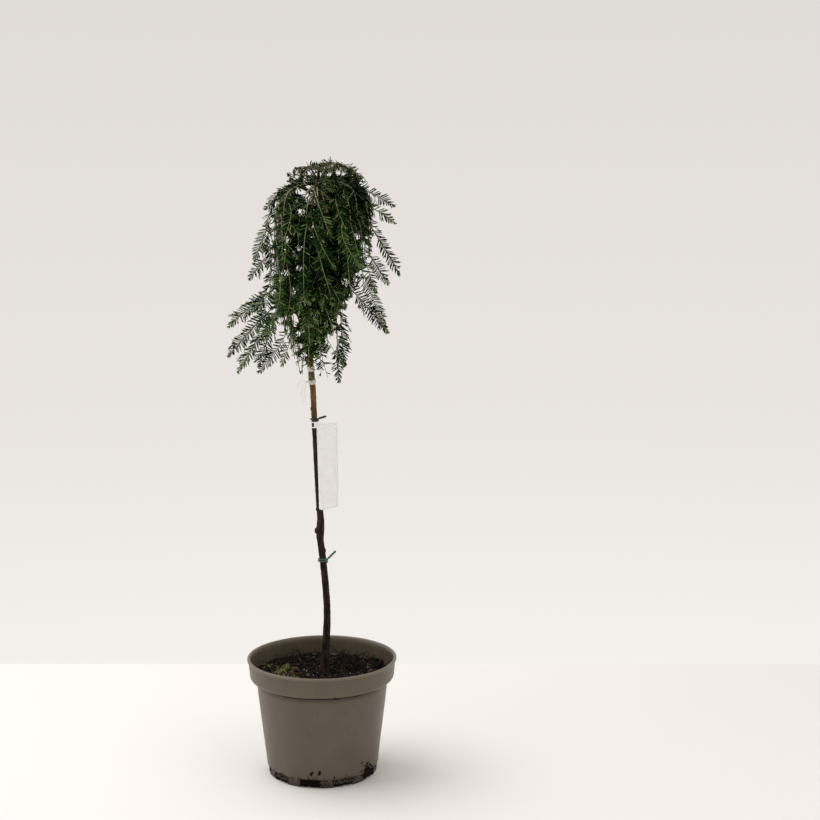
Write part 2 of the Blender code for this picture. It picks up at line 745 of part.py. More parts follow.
def ring_round_trunk(name, height, width, thickness, collection, material):
    """A snug band round the trunk, following its taper and lean."""
    sides = 16
    bm = bmesh.new()
    rings = []
    for level, extra in ((-0.5, 0), (-0.5, thickness), (0.5, thickness), (0.5, 0)):
        centre = trunk_centre(height + width * level)
        radius = trunk_radius(height + width * level) + GAP + extra
        turns = [direction(360 / sides * i) * radius for i in range(sides)]
        rings.append([bm.verts.new(centre + turn) for turn in turns])
    for lower, upper in zip(rings, rings[1:] + rings[:1]):
        for i in range(sides):
            j = (i + 1) % sides
            bm.faces.new((lower[i], lower[j], upper[j], upper[i]))
    bmesh.ops.recalc_face_normals(bm, faces=bm.faces)
    mesh = bpy.data.meshes.new(name)
    bm.to_mesh(mesh)
    bm.free()
    return add_object(name, mesh, collection, material)


def build_tie(name, height, turns, tail, collection, material):
    """A coated wire wound round the trunk, with its two ends twisted into a tail."""
    radius = trunk_radius(height) + GAP + TIE_RADIUS + 0.3 * MM
    centre = trunk_centre(height)
    steps = 12 * turns
    points = []
    for i in range(steps + 1):
        azimuth = TIE_START + (360 * turns - 25) * i / steps
        rise = UP * (i / steps - 0.5) * TIE_PITCH * turns
        points.append(centre + direction(azimuth) * radius + rise)
    points.append(centre + direction(TIE_START) * (radius + 3.2 * MM) + rise + UP * 0.5 * MM)
    points.append(points[-1] + Vector(tail) * MM)
    return tube(name, points, [TIE_RADIUS] * len(points), 1, collection, material)


def build_label(collection, material):
    """A plain slip of white plastic, hung by a strap that goes round the trunk."""
    strap = ring_round_trunk("strap", STRAP_HEIGHT, STRAP_WIDTH, STRAP_THICKNESS, collection, material)
    bm = bmesh.new()
    bmesh.ops.create_cube(bm, size=1)
    bmesh.ops.scale(bm, vec=LABEL_SIZE, verts=bm.verts)
    bmesh.ops.bevel(
        bm, geom=[e for e in bm.edges if abs(e.verts[0].co.y - e.verts[1].co.y) > 0.5 * MM],
        offset=2 * MM, segments=3, affect="EDGES",
    )
    bmesh.ops.rotate(bm, matrix=Matrix.Rotation(math.radians(LABEL_TURN), 3, "Z"), verts=bm.verts)
    mesh = bpy.data.meshes.new("slip")
    bm.to_mesh(mesh)
    bm.free()
    slip = add_object("slip", mesh, collection)
    slip.rotation_euler = (0, -math.radians(LABEL_LEAN), 0)
    slip.location = LABEL_CENTRE
    return joined(strap, [slip], "plant_label", collection, material)


def main():
    clear_scene()
    plant = make_collection("potted_weeping_hemlock")
    cutters = make_collection("cutters", hidden=True)
    materials = {name: make_material(name) for name in COLOURS}
    bark, needles = materials["bark"], materials["needles"]
    build_pot(plant, cutters, materials["pot_plastic"])
    build_soil(plant, materials["potting_soil"])
    build_trunk(plant, bark)
    for index in range(OUTER_MASSES):
        tube(f"bough_outer_{index + 1}", *outer_bough(index), 1, plant, bark)
        build_outer_mass(index, plant, needles)
    for index in range(LOWER_MASSES):
        tube(f"bough_lower_{index + 1}", *lower_bough(index), 1, plant, bark)
        build_lower_mass(index, plant, needles)
    tube("bough_crest", *crest_bough(), 1, plant, bark)
    build_top_mass("foliage_arch", leader(), 1, ARCH_TIPS, plant, needles)
    build_top_mass("foliage_crest", crest_bough(), -1, CREST_TIPS, plant, needles)
    build_label(plant, materials["white_plastic"])
    for number, height in enumerate(TAPE_HEIGHTS, 1):
        name = f"graft_tape_{number}"
        ring_round_trunk(name, height, TAPE_WIDTH, TAPE_THICKNESS, plant, materials["white_plastic"])
    for number, (height, turns, tail) in enumerate(TIES, 1):
        build_tie(f"wire_tie_{number}", height * MM, turns, tail, plant, materials["green_wire"])


if __name__ == "__main__":
    main()
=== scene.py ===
"""Looks of a weeping western hemlock, grafted as a small standard, in a round nursery pot.

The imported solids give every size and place. The pot, soil, trunk, boughs and fittings are modelled
again with their surface, and each foliage mass is grown again by the rule of the part's source,
carried on to finer twigs and single needles. Metres, +Z up, the plant's front faces -Y.
"""

from __future__ import annotations

import logging
import math
import random
from contextlib import contextmanager
from dataclasses import dataclass, field
from enum import Enum, IntEnum
from typing import Iterator, Sequence

import bpy
import numpy as np
from mathutils import Euler, Matrix, Vector, noise

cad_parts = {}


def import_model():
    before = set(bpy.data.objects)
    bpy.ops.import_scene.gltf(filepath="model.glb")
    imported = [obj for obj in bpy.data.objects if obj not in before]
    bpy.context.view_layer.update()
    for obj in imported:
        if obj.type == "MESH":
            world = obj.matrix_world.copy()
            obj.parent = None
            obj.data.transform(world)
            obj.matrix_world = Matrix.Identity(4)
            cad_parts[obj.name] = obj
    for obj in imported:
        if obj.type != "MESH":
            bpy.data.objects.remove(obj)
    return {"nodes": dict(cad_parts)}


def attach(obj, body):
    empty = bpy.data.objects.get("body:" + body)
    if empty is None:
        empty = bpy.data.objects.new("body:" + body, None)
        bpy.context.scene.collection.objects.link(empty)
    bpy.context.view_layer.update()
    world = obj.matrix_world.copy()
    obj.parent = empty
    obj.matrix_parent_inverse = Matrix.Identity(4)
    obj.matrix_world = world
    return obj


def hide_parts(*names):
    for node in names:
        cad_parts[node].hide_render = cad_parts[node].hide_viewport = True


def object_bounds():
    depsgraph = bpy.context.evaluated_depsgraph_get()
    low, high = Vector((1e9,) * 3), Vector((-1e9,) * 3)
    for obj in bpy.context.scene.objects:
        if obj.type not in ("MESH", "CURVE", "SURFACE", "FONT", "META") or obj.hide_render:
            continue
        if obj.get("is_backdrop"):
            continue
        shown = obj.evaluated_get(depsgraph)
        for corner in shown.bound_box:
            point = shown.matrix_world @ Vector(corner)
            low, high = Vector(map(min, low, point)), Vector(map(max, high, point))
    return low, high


log = logging.getLogger("weeping_hemlock")

MM = 0.001
GAP = 0.3 * MM
UP = Vector((0, 0, 1))
TO_FRONT = Vector((0, -1, 0))
VIEWPOINT = Vector((0.131, -2.458, 0.936))
# The widest angle drawn for a grain that may lie any way round, in radians
ANY_WAY = 6.3
# Settings of a node that mixes two colours
MIXED = {"data_type": "RGBA", "blend_type": "MIX"}
MULTIPLIED = {"data_type": "RGBA", "blend_type": "MULTIPLY"}
SOFTENED = {"data_type": "RGBA", "blend_type": "SOFT_LIGHT"}

Profile = Sequence[tuple[float, float]]
Table = Sequence[tuple[float, ...]]
Mesh = tuple[np.ndarray, np.ndarray]
Tree = bpy.types.NodeTree
Socket = bpy.types.NodeSocket
Piece = bpy.types.Object


# Colour and node helpers

def linear(hex_colour: str) -> tuple[float, float, float, float]:
    """Turns an sRGB hex colour into the linear RGBA that a shader reads.

    Args:
        hex_colour: a colour such as "#6b6353".

    Returns:
        The linear colour with full alpha.
    """
    parts = [int(hex_colour[i:i + 2], 16) / 255 for i in (1, 3, 5)]
    return (*(c / 12.92 if c <= 0.04045 else ((c + 0.055) / 1.055) ** 2.4 for c in parts), 1.0)


def add_node(
    tree: Tree,
    kind: str,
    inputs: dict | None = None,
    settings: dict | None = None,
    stops: Sequence[tuple[float, str]] = (),
    out: int | str = 0,
) -> Socket:
    """Adds one node with its settings, its inputs and the stops of its colour ramp.

    Args:
        tree: the node tree it goes into.
        kind: the node's type, without the "ShaderNode" before it.
        inputs: a number, a hex colour or a socket for each input, by the input's name or number.
        settings: the node's own properties by name.
        stops: places and hex colours of its ramp, in rising order.
        out: the name or number of the output that is wanted.

    Returns:
        That output.
    """
    node = tree.nodes.new("ShaderNode" + kind)
    for name, value in (settings or {}).items():
        setattr(node, name, value)
    for name, item in (inputs or {}).items():
        if isinstance(item, Socket):
            tree.links.new(item, node.inputs[name])
        else:
            node.inputs[name].default_value = linear(item) if isinstance(item, str) else item
    bar = node.color_ramp.elements if stops else []
    while len(bar) < len(stops):
        bar.new(1.0)
    for element, (place, colour) in zip(bar, stops):
        element.position, element.color = place, linear(colour)
    return node.outputs[out]


# Finishes: each is named for the real material, and says what that gives the eye

@dataclass(frozen=True)
class Finish:
    """A real material's surface.

    Args:
        name: the material's common name and how its surface was made.
        colour: main sRGB colour.
        roughness: microscopic roughness of the surface.
        ior: index of refraction.
    """

    name: str
    colour: str
    roughness: float = 0.6
    ior: float = 1.5

    def pattern(self, tree: Tree, place: Socket) -> dict[str, Socket]:
        """What feeds the shader's inputs, by their names; a plain finish has no pattern."""
        return {}

    def material(self) -> bpy.types.Material:
        """The finish's material, made once.

        Returns:
            The Blender material.
        """
        made = bpy.data.materials.get(self.name)
        if made:
            return made
        made = bpy.data.materials.new(self.name)
        made.use_nodes = True
        tree = made.node_tree
        inputs = tree.nodes["Principled BSDF"].inputs
        basic = {"Base Color": linear(self.colour), "Roughness": self.roughness, "IOR": self.ior}
        for key, value in basic.items():
            inputs[key].default_value = value
        for key, socket in self.pattern(tree, add_node(tree, "TexCoord", out="Object")).items():
            tree.links.new(socket, inputs[key])
        made.diffuse_color = linear(self.colour)
        return made


@dataclass(frozen=True)
class MouldedPolypropylene(Finish):
    """Injection-moulded recycled polypropylene: matt, slightly cloudy, scuffed, and earthy at the foot."""

    # The colour of the random scuffs, and of the painted highlight on the lip's top
    scuff_and_highlight: str = "#756d5e"
    earth: str = "#2a1e16"
    foot_height: float = 24 * MM
    # Heights between which painted shade darkens the body under the overhanging rim band
    shelf_foot: float = 132 * MM
    shelf_top: float = 150 * MM
    # Heights between which the lip gets a painted highlight
    lip_foot: float = 170.5 * MM
    lip_top: float = 172.5 * MM

    def pattern(self, tree: Tree, place: Socket) -> dict[str, Socket]:
        """Cloudy tone, scuffs, a painted highlight on the lip, painted shade below the band, splashed earth
        and a moulded grain.
        """
        height = add_node(tree, "SeparateXYZ", {0: place}, out="Z")
        clouds = add_node(tree, "TexNoise", {"Scale": 26.0, "Detail": 4.0, "Vector": place})
        tone = add_node(tree, "ValToRGB", {0: clouds},
                        stops=((0.30, "#554c3e"), (0.52, self.colour), (0.75, "#605747")))
        drawn = add_node(tree, "Mapping", {"Scale": (1.0, 1.0, 0.16), "Vector": place})
        rubs = add_node(tree, "TexNoise", {"Scale": 420.0, "Detail": 3.0, "Vector": drawn})
        rubbed = add_node(tree, "MapRange", {0: rubs, 1: 0.62, 2: 0.78, 4: 0.35})
        # Painted highlight: the lip's top is mixed towards the scuff colour all round
        lip_highlight = add_node(tree, "MapRange", {0: height, 1: self.lip_foot, 2: self.lip_top, 4: 0.6})
        for share in (rubbed, lip_highlight):
            tone = add_node(tree, "Mix", {0: share, 6: tone, 7: self.scuff_and_highlight}, MIXED, out=2)
        # Painted shade: the body just below the rim band is darkened where the band overhangs it
        shelf = add_node(tree, "MapRange", {0: height, 1: self.shelf_foot, 2: self.shelf_top})
        under_band_shade = add_node(tree, "ValToRGB", {0: shelf},
                         stops=((0.05, "#ffffff"), (0.36, "#bab2a5"), (0.50, "#aba294"), (0.60, "#ffffff")))
        tone = add_node(tree, "Mix", {0: 1.0, 6: tone, 7: under_band_shade}, MULTIPLIED, out=2)
        low = add_node(tree, "MapRange", {0: height, 1: self.foot_height, 2: 0.0, 4: 0.5})
        specks = add_node(tree, "TexNoise",
                          {"Scale": 330.0, "Detail": 5.0, "Roughness": 0.7, "Vector": place})
        splash = add_node(tree, "Math", {0: low, 1: specks}, {"operation": "ADD"})
        dirty = add_node(tree, "MapRange", {0: splash, 1: 0.72, 2: 0.92, 4: 0.85})
        grain = add_node(tree, "TexNoise", {"Scale": 1400.0, "Detail": 2.0, "Vector": place})
        return {
            "Base Color": add_node(tree, "Mix", {0: dirty, 6: tone, 7: self.earth}, MIXED, out=2),
            "Roughness": add_node(tree, "MapRange", {0: clouds, 1: 0.3, 2: 0.7, 3: 0.36, 4: 0.5}),
            "Normal": add_node(tree, "Bump", {"Height": grain, "Strength": 0.12, "Distance": 0.2 * MM}),
        }


@dataclass(frozen=True)
class BarkCompost(Finish):
    """Moist potting compost of composted bark: near black with red-brown crumbs, dull."""

    crumb: str = "#24140d"

    def pattern(self, tree: Tree, place: Socket) -> dict[str, Socket]:
        """Crumbs of about 2 mm in tone and in relief."""
        crumbs = add_node(tree, "TexVoronoi", {"Scale": 480.0, "Randomness": 1.0, "Vector": place})
        tone = add_node(tree, "ValToRGB", {0: crumbs}, stops=((0.0, self.crumb), (0.6, self.colour)))
        speckle = crumbs.node.outputs["Color"]
        return {
            "Base Color": add_node(tree, "Mix", {0: 0.75, 6: tone, 7: speckle}, SOFTENED, out=2),
            "Normal": add_node(tree, "Bump", {"Height": crumbs, "Strength": 0.8, "Distance": 1.0 * MM}),
        }


@dataclass(frozen=True)
class HemlockBark(Finish):
    """Young hemlock bark: thin grey-brown scales over red-brown, with fine upright cracks."""

    crack: str = "#0f0a07"
    scale: str = "#3a2c22"
    under: str = "#33190e"
    graft: str = "#7a6a3c"
    graft_low: float = 515 * MM
    graft_high: float = 570 * MM
    graft_end: float = 740 * MM

    def pattern(self, tree: Tree, place: Socket) -> dict[str, Socket]:
        """Upright cracks, scaly blotches, and the olive and red mottle round the graft."""
        height = add_node(tree, "SeparateXYZ", {0: place}, out="Z")
        upright = add_node(tree, "Mapping", {"Scale": (1.0, 1.0, 0.22), "Vector": place})
        blotch = add_node(tree, "TexNoise",
                          {"Scale": 260.0, "Detail": 6.0, "Roughness": 0.65, "Vector": upright})
        tone = add_node(tree, "ValToRGB", {0: blotch}, stops=(
            (0.30, self.crack), (0.45, self.colour), (0.58, self.scale), (0.72, self.under)))
        mottle = add_node(tree, "TexNoise", {"Scale": 150.0, "Detail": 3.0, "Vector": upright})
        upper = add_node(tree, "ValToRGB", {0: mottle},
                         stops=((0.32, "#3a2e1c"), (0.48, self.graft), (0.64, "#6e4a28")))
        fall = add_node(tree, "MapRange", {0: height, 1: self.graft_high, 2: self.graft_end, 3: 0.8, 4: 0.25})
        grafted = add_node(tree, "Mix", {0: fall, 6: tone, 7: upper}, MIXED, out=2)
        rise = add_node(tree, "MapRange", {0: height, 1: self.graft_low, 2: self.graft_high},
                        {"interpolation_type": "SMOOTHSTEP"})
        cracks = add_node(tree, "TexNoise", {"Scale": 900.0, "Detail": 4.0, "Vector": upright})
        relief = add_node(tree, "Math", {0: cracks, 1: blotch}, {"operation": "ADD"})
        return {
            "Base Color": add_node(tree, "Mix", {0: rise, 6: tone, 7: grafted}, MIXED, out=2),
            "Normal": add_node(tree, "Bump", {"Height": relief, "Strength": 0.6, "Distance": 0.5 * MM}),
        }


@dataclass(frozen=True)
class PrintFilm(Finish):
    """Plain label film, white polypropylene: satin, with faint smudges from damp fingers."""

    smudge: str = "#cfcabf"

    def pattern(self, tree: Tree, place: Socket) -> dict[str, Socket]:
        """Faint smudges and a slight waviness."""
        clouds = add_node(tree, "TexNoise", {"Scale": 70.0, "Detail": 5.0, "Vector": place})
        stops = ((0.42, self.colour), (0.72, self.smudge))
        return {
            "Base Color": add_node(tree, "ValToRGB", {0: clouds}, stops=stops),
            "Normal": add_node(tree, "Bump", {"Height": clouds, "Strength": 0.15, "Distance": 0.4 * MM}),
        }


POT_PLASTIC = MouldedPolypropylene("Moulded recycled polypropylene", "#5a5142", 0.5, 1.49)
COMPOST = BarkCompost("Moist bark compost", "#080403", 0.95, 1.25)
BARK = HemlockBark("Young hemlock bark", "#1d130d", 0.9, 1.3)
LABEL_FILM = PrintFilm("White polypropylene film", "#ffffff", 0.42, 1.49, "#f9f8f5")
GRAFT_FILM = PrintFilm("Stretched grafting film", "#e6e3da", 0.35, 1.45, "#b9b3a2")
# PVC-coated garden wire: a smooth dark green skin with a soft highlight
WIRE = Finish("Green coated garden wire", "#35604a", 0.42, 1.53)
# The same wire where rubber from the ties before it has blackened the skin
OLD_WIRE = Finish("Blackened garden wire", "#17221b", 0.5, 1.53)
# Perlite: heat-puffed volcanic glass, chalky white grains
PERLITE = Finish("Perlite", "#a59f94", 0.9)
# Feeder roots: dark brown threads, dull
ROOT = Finish("Feeder root", "#1e120b", 0.85, 1.3)
# Bud scales: closely pressed, waxy red-brown
BUD = Finish("Bud scales", "#6a4a2c", 0.5)


class ChipShade(Enum):
    """Composted bark: wet chips are near black, drier ones red-brown or grey, and dried mud is dusty."""

    WET = "#0b0604"
    RED = "#301409"
    DRY = "#54402f"
    MUD = "#5a5145"


class MossShade(Enum):
    """Cushion moss: yellow-green shoot tips over darker green."""

    TIP = "#9a9560"
    BODY = "#363a17"


class NeedleShade(Enum):
    """Hemlock needles: colour and index of refraction.

    Old inner needles are dulled by dust, and the darkest shades are painted shade for the needles deep
    inside the crown; this year's are paler, yellower and waxy, those at the very top are bronzed by the
    sun, and all have pale bands beneath.
    """

    # Near black: painted shade for needles deep inside the crown
    INNER = ("#020800", 1.1)
    OLD = ("#081a02", 1.15)
    MATURE = ("#163409", 1.2)
    FRESH = ("#36571f", 1.3)
    TIP = ("#738a44", 1.38)
    BRONZE = ("#645a30", 1.35)
    UNDERSIDE = ("#365124", 1.2)


# The numbers of the shades, as a mass's needles have them
INNER, OLD, MATURE, FRESH, TIP, BRONZE, UNDERSIDE = range(len(NeedleShade))


class TwigShade(Enum):
    """Twigs: brown where they are older, pale green-tan this year."""

    OLD = "#3a2a1c"
    YOUNG = "#7c8460"


def finishes_of(label: str, shades: type[Enum], roughness: float, ior: float = 1.5) -> list[Finish]:
    """One finish for each shade of a thing.

    Args:
        label: the thing's common name.
        shades: its colours, which may each bring an index of refraction.
        roughness: its surface's roughness.
        ior: the index of refraction where a shade brings none.

    Returns:
        The finishes, in the order of the shades.
    """
    found = []
    for shade in shades:
        colour, own = shade.value if isinstance(shade.value, tuple) else (shade.value, ior)
        found.append(Finish(f"{label}, {shade.name.lower()}", colour, roughness, own))
    return found


CHIPS = finishes_of("Bark chip", ChipShade, 0.9, 1.3)
MOSS = finishes_of("Cushion moss", MossShade, 0.85, 1.3)
NEEDLES = finishes_of("Hemlock needle", NeedleShade, 0.55)
TWIGS = finishes_of("Hemlock twig", TwigShade, 0.7)


# Mesh helpers

def deselect_all() -> None:
    """Leaves edit mode and clears the selection."""
    if bpy.context.object and bpy.context.object.mode != "OBJECT":
        bpy.ops.object.mode_set(mode="OBJECT")
    bpy.ops.object.select_all(action="DESELECT")


def take(obj: Piece) -> Piece:
    """Selects one object alone and makes it active."""
    deselect_all()
    obj.select_set(True)
    bpy.context.view_layer.objects.active = obj
    return obj


@contextmanager
def editing(obj: Piece, kind: str = "VERT", whole: bool = True) -> Iterator[None]:
    """Edits one object.

    Args:
        obj: the object to edit.
        kind: select mode: VERT, EDGE or FACE.
        whole: whether all of it is selected, or only what was before.

    Yields:
        Nothing.
    """
    take(obj)
    bpy.ops.object.mode_set(mode="EDIT")
    bpy.ops.mesh.select_mode(type=kind)
    if whole:
        bpy.ops.mesh.select_all(action="SELECT")
    yield
    bpy.ops.object.mode_set(mode="OBJECT")


def settle(obj: Piece) -> Piece:
    """Applies an object's place to its mesh, and turns its faces outwards.

    Args:
        obj: the object.

    Returns:
        The same object.
    """
    take(obj)
    bpy.ops.object.transform_apply(location=True, rotation=True, scale=True)
    with editing(obj):
        bpy.ops.mesh.normals_make_consistent(inside=False)
    return obj


def slice_up(obj: Piece, height: float, bands: int) -> None:
    """Cuts an object that stands at the origin into level bands.

    Args:
        obj: the object to cut.
        height: how tall it is.
        bands: how many bands it gets.
    """
    for step in range(1, bands):
        with editing(obj):
            bpy.ops.mesh.bisect(plane_co=(0, 0, height * (step / bands - 0.5)), plane_no=(0, 0, 1))


def apply_modifier(obj: Piece, kind: str, settings: dict) -> None:
    """Adds one modifier and applies it.

    Args:
        obj: the object it shapes.
        kind: the modifier's type.
        settings: its properties by name.
    """
    take(obj)
    modifier = obj.modifiers.new(kind.lower(), kind)
    for name, value in settings.items():
        setattr(modifier, name, value)
    bpy.ops.object.modifier_apply(modifier=modifier.name)


def turned(name: str, profile: Profile, sides: int) -> Piece:
    """Turns a profile by extruding a filled circle from ring to ring.

    Args:
        name: the new object's name.
        profile: radius and height of each ring, from the first cap to the last.
        sides: vertices round each ring.

    Returns:
        A closed object.
    """
    radius, height = profile[0]
    bpy.ops.mesh.primitive_circle_add(vertices=sides, radius=radius, fill_type="TRIFAN",
                                      location=(0, 0, height))
    obj = bpy.context.object
    obj.name = name
    bpy.ops.object.transform_apply(location=True)
    with editing(obj, "FACE"):
        for (near, low), (far, high) in zip(profile, profile[1:]):
            bpy.ops.mesh.extrude_region_move(TRANSFORM_OT_translate={"value": (0, 0, high - low)})
            bpy.ops.transform.resize(value=(far / near, far / near, 1), center_override=(0, 0, high))
    return settle(obj)


def points_of(obj: Piece) -> np.ndarray:
    """The vertices of an object's mesh, one row each."""
    rows = np.empty(len(obj.data.vertices) * 3)
    obj.data.vertices.foreach_get("co", rows)
    return rows.reshape(-1, 3)


def move_points(obj: Piece, rows: np.ndarray) -> None:
    """Puts an object's vertices at new places."""
    obj.data.vertices.foreach_set("co", rows.astype(np.float32).ravel())
    obj.data.update()


def mesh_object(
    name: str,
    points: np.ndarray,
    faces: np.ndarray,
    finishes: Sequence[Finish],
    shades: np.ndarray | None = None,
    smooth: bool = True,
) -> Piece:
    """Makes one object from joined triangles.

    Args:
        name: the object's name.
        points: vertices, one row each.
        faces: triangles, one row each.
        finishes: its materials in order.
        shades: each triangle's material number.
        smooth: whether its faces are shaded smooth.

    Returns:
        The object, linked to the scene.
    """
    mesh = bpy.data.meshes.new(name)
    mesh.vertices.add(len(points))
    mesh.vertices.foreach_set("co", points.astype(np.float32).ravel())
    mesh.loops.add(faces.size)
    mesh.loops.foreach_set("vertex_index", faces.astype(np.int32).ravel())
    mesh.polygons.add(len(faces))
    mesh.polygons.foreach_set("loop_start", np.arange(0, faces.size, 3, dtype=np.int32))
    for finish in finishes:
        mesh.materials.append(finish.material())
    if shades is not None:
        mesh.polygons.foreach_set("material_index", shades.astype(np.int32))
    mesh.update(calc_edges=True)
    if smooth:
        mesh.shade_smooth()
    obj = bpy.data.objects.new(name, mesh)
    bpy.context.scene.collection.objects.link(obj)
    return obj


def loft(points: Sequence[Vector], radii: Sequence[float], sides: int) -> Mesh:
    """A tapering round piece along a path, closed at both ends.

    Args:
        points: the path.
        radii: the radius at each of its points.
        sides: vertices round it.

    Returns:
        Its vertices and its triangles.
    """
    rows = np.array([tuple(point) for point in points])
    ahead = np.gradient(rows, axis=0)
    ahead /= np.linalg.norm(ahead, axis=1)[:, None] + 1e-12
    side = np.cross(ahead[0], (0.3, 0.2, 1.0) if abs(ahead[0][2]) < 0.9 else (1.0, 0.2, 0.0))
    turns = np.arange(sides) * 2 * math.pi / sides
    rings = []
    for place, tangent, radius in zip(rows, ahead, radii):
        side = side - tangent * (side @ tangent)
        side /= np.linalg.norm(side) + 1e-12
        across = np.cross(tangent, side)
        rings.append(place + radius * (np.outer(np.cos(turns), side) + np.outer(np.sin(turns), across)))
    count = len(rings)
    made = np.concatenate([*rings, rows[:1], rows[-1:]])
    here = np.arange(sides)
    there = (here + 1) % sides
    faces = []
    for ring in range(count - 1):
        a, b = here + ring * sides, there + ring * sides
        faces += [np.stack([a, b, b + sides], 1), np.stack([a, b + sides, a + sides], 1)]
    first, last = count * sides, count * sides + 1
    top = (count - 1) * sides
    faces.append(np.stack([there, here, np.full(sides, first)], 1))
    faces.append(np.stack([here + top, there + top, np.full(sides, last)], 1))
    return made, np.concatenate(faces)


def joined(meshes: Sequence[Mesh]) -> Mesh:
    """Joins several meshes into one: their vertices, and their triangles."""
    starts = np.cumsum([0] + [len(points) for points, _ in meshes])
    faces = [triangles + start for (_, triangles), start in zip(meshes, starts)]
    return np.concatenate([points for points, _ in meshes]), np.concatenate(faces)


def round_grain() -> Piece:
    """A small faceted ball, which crumbs, chips and buds start from."""
    bpy.ops.mesh.primitive_ico_sphere_add(subdivisions=1, radius=1)
    return bpy.context.object


def tumbled(rng: random.Random) -> Matrix:
    """A turn that may be any way round."""
    return Euler([rng.uniform(0, ANY_WAY) for _ in range(3)]).to_matrix()


def leaning(rng: random.Random, lean: float) -> Matrix:
    """A turn that stays near upright, within a usual lean in radians, and faces any way."""
    return Euler((rng.gauss(0, lean), rng.gauss(0, lean), rng.uniform(0, ANY_WAY))).to_matrix()


def squat(rng: random.Random, size: float, width: tuple[float, float], depth: tuple[float, float]) -> Matrix:
    """A grain's size along its axes: its width and depth are drawn as shares of its length."""
    return Matrix.Diagonal((size, size * rng.uniform(*width), size * rng.uniform(*depth)))


@dataclass
class Swarm:
    """Many small copies of one closed shape, joined into one mesh.

    Args:
        points: the shape's vertices.
        faces: its triangles.
    """

    points: np.ndarray
    faces: np.ndarray
    frames: list[np.ndarray] = field(default_factory=list)
    shades: list[int] = field(default_factory=list)

    @classmethod
    def of(cls, obj: Piece) -> Swarm:
        """Takes the shape of an object, which is then removed.

        Args:
            obj: a small closed object, placed at the origin.

        Returns:
            An empty swarm of that shape.
        """
        apply_modifier(obj, "TRIANGULATE", {})
        faces = np.array([tuple(face.vertices) for face in obj.data.polygons])
        swarm = cls(points_of(obj), faces)
        bpy.data.objects.remove(obj)
        return swarm

    def add(self, place: Vector, axes: Matrix, shade: int = 0) -> None:
        """Adds one copy, with its axes as columns of a 3 by 3 matrix that holds its size too."""
        self.frames.append(np.column_stack([np.array(axes), np.array(place)]))
        self.shades.append(shade)

    def built(self, name: str, finishes: Sequence[Finish], smooth: bool = False) -> Piece:
        """Joins the copies.

        Args:
            name: the joined object's name.
            finishes: its materials, by shade number.
            smooth: whether its faces are shaded smooth.

        Returns:
            The joined object.
        """
        frames = np.array(self.frames)
        places = np.einsum("nij,vj->nvi", frames[:, :, :3], self.points) + frames[:, None, :, 3]
        count = len(self.points)
        faces = self.faces[None] + (np.arange(len(frames)) * count)[:, None, None]
        shades = np.repeat(np.array(self.shades), len(self.faces))
        return mesh_object(name, places.reshape(-1, 3), faces.reshape(-1, 3), finishes, shades, smooth)


def mounted(obj: Piece, slot: str, *nodes: str) -> Piece:
    """Fixes a finished piece to the plant's one body, in place of its solids.

    Args:
        obj: the finished piece.
        slot: the name of a material slot; not used.
        nodes: the solids it stands for.

    Returns:
        The same piece.
    """
    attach(obj, "root")
    if nodes:
        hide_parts(*nodes)
    return obj


def dressed(obj: Piece, finish: Finish, crease: float = 0.0) -> Piece:
    """Gives a piece one finish all over.

    Args:
        obj: the piece.
        finish: its finish.
        crease: edges that turn less than this, in degrees, are smoothed.

    Returns:
        The same piece.
    """
    obj.data.materials.clear()
    obj.data.materials.append(finish.material())
    if crease:
        take(obj)
        bpy.ops.object.shade_smooth_by_angle(angle=math.radians(crease))
    return obj


# Paths and tables, as in the part's source

def between(table: Table, height: float) -> list[float]:
    """The row of a millimetre table, less its first column, read at a height between its rows.

    Args:
        table: its rows, from low to high.
        height: the height, in metres.

    Returns:
        The other columns there, in metres.
    """
    rows = [tuple(value * MM for value in row) for row in table]
    height = min(max(height, rows[0][0]), rows[-1][0])
    for low, high in zip(rows, rows[1:]):
        if height <= high[0]:
            share = (height - low[0]) / (high[0] - low[0])
            return [a + (b - a) * share for a, b in zip(low[1:], high[1:])]
    return list(rows[-1][1:])


def direction(azimuth: float, slope: float = 0.0) -> Vector:
    """A unit vector out from the trunk, slope degrees above the level."""
    flat, rise = math.radians(azimuth), math.radians(slope)
    return Vector((math.cos(flat) * math.cos(rise), math.sin(flat) * math.cos(rise), math.sin(rise)))


def bezier(corners: Sequence[Vector], steps: int) -> list[Vector]:
    """Points along a cubic curve.

    Args:
        corners: its two ends and the two points that draw it out.
        steps: into how many it is cut.

    Returns:
        The points.
    """
    a, b, c, d = corners
    points = []
    for step in range(steps + 1):
        t = step / steps
        s = 1 - t
        points.append(a * s**3 + b * 3 * s * s * t + c * 3 * s * t * t + d * t**3)
    return points


def length_of(points: Sequence[Vector]) -> float:
    """The length of a path."""
    return sum((b - a).length for a, b in zip(points, points[1:]))


def point_along(points: Sequence[Vector], share: float) -> Vector:
    """The place at a share of a path's length.

    Args:
        points: the path.
        share: from 0 at its start to 1 at its end.

    Returns:
        The place.
    """
    left = length_of(points) * share
    for a, b in zip(points, points[1:]):
        step = (b - a).length
        if left <= step:
            return a.lerp(b, left / step)
        left -= step
    return points[-1].copy()


def spaced(points: Sequence[Vector], pitch: float, least: int = 2) -> list[Vector]:
    """A path read again at even steps of about one pitch.

    Args:
        points: the path.
        pitch: about how far apart its new points are.
        least: the fewest steps it may have.

    Returns:
        The new path.
    """
    count = max(least, round(length_of(points) / pitch))
    ends = np.concatenate([[0], np.cumsum([(b - a).length for a, b in zip(points, points[1:])])])
    rows = np.array([tuple(point) for point in points])
    at = np.linspace(0, ends[-1], count + 1)
    return [Vector(row) for row in np.stack([np.interp(at, ends, rows[:, i]) for i in range(3)], 1)]


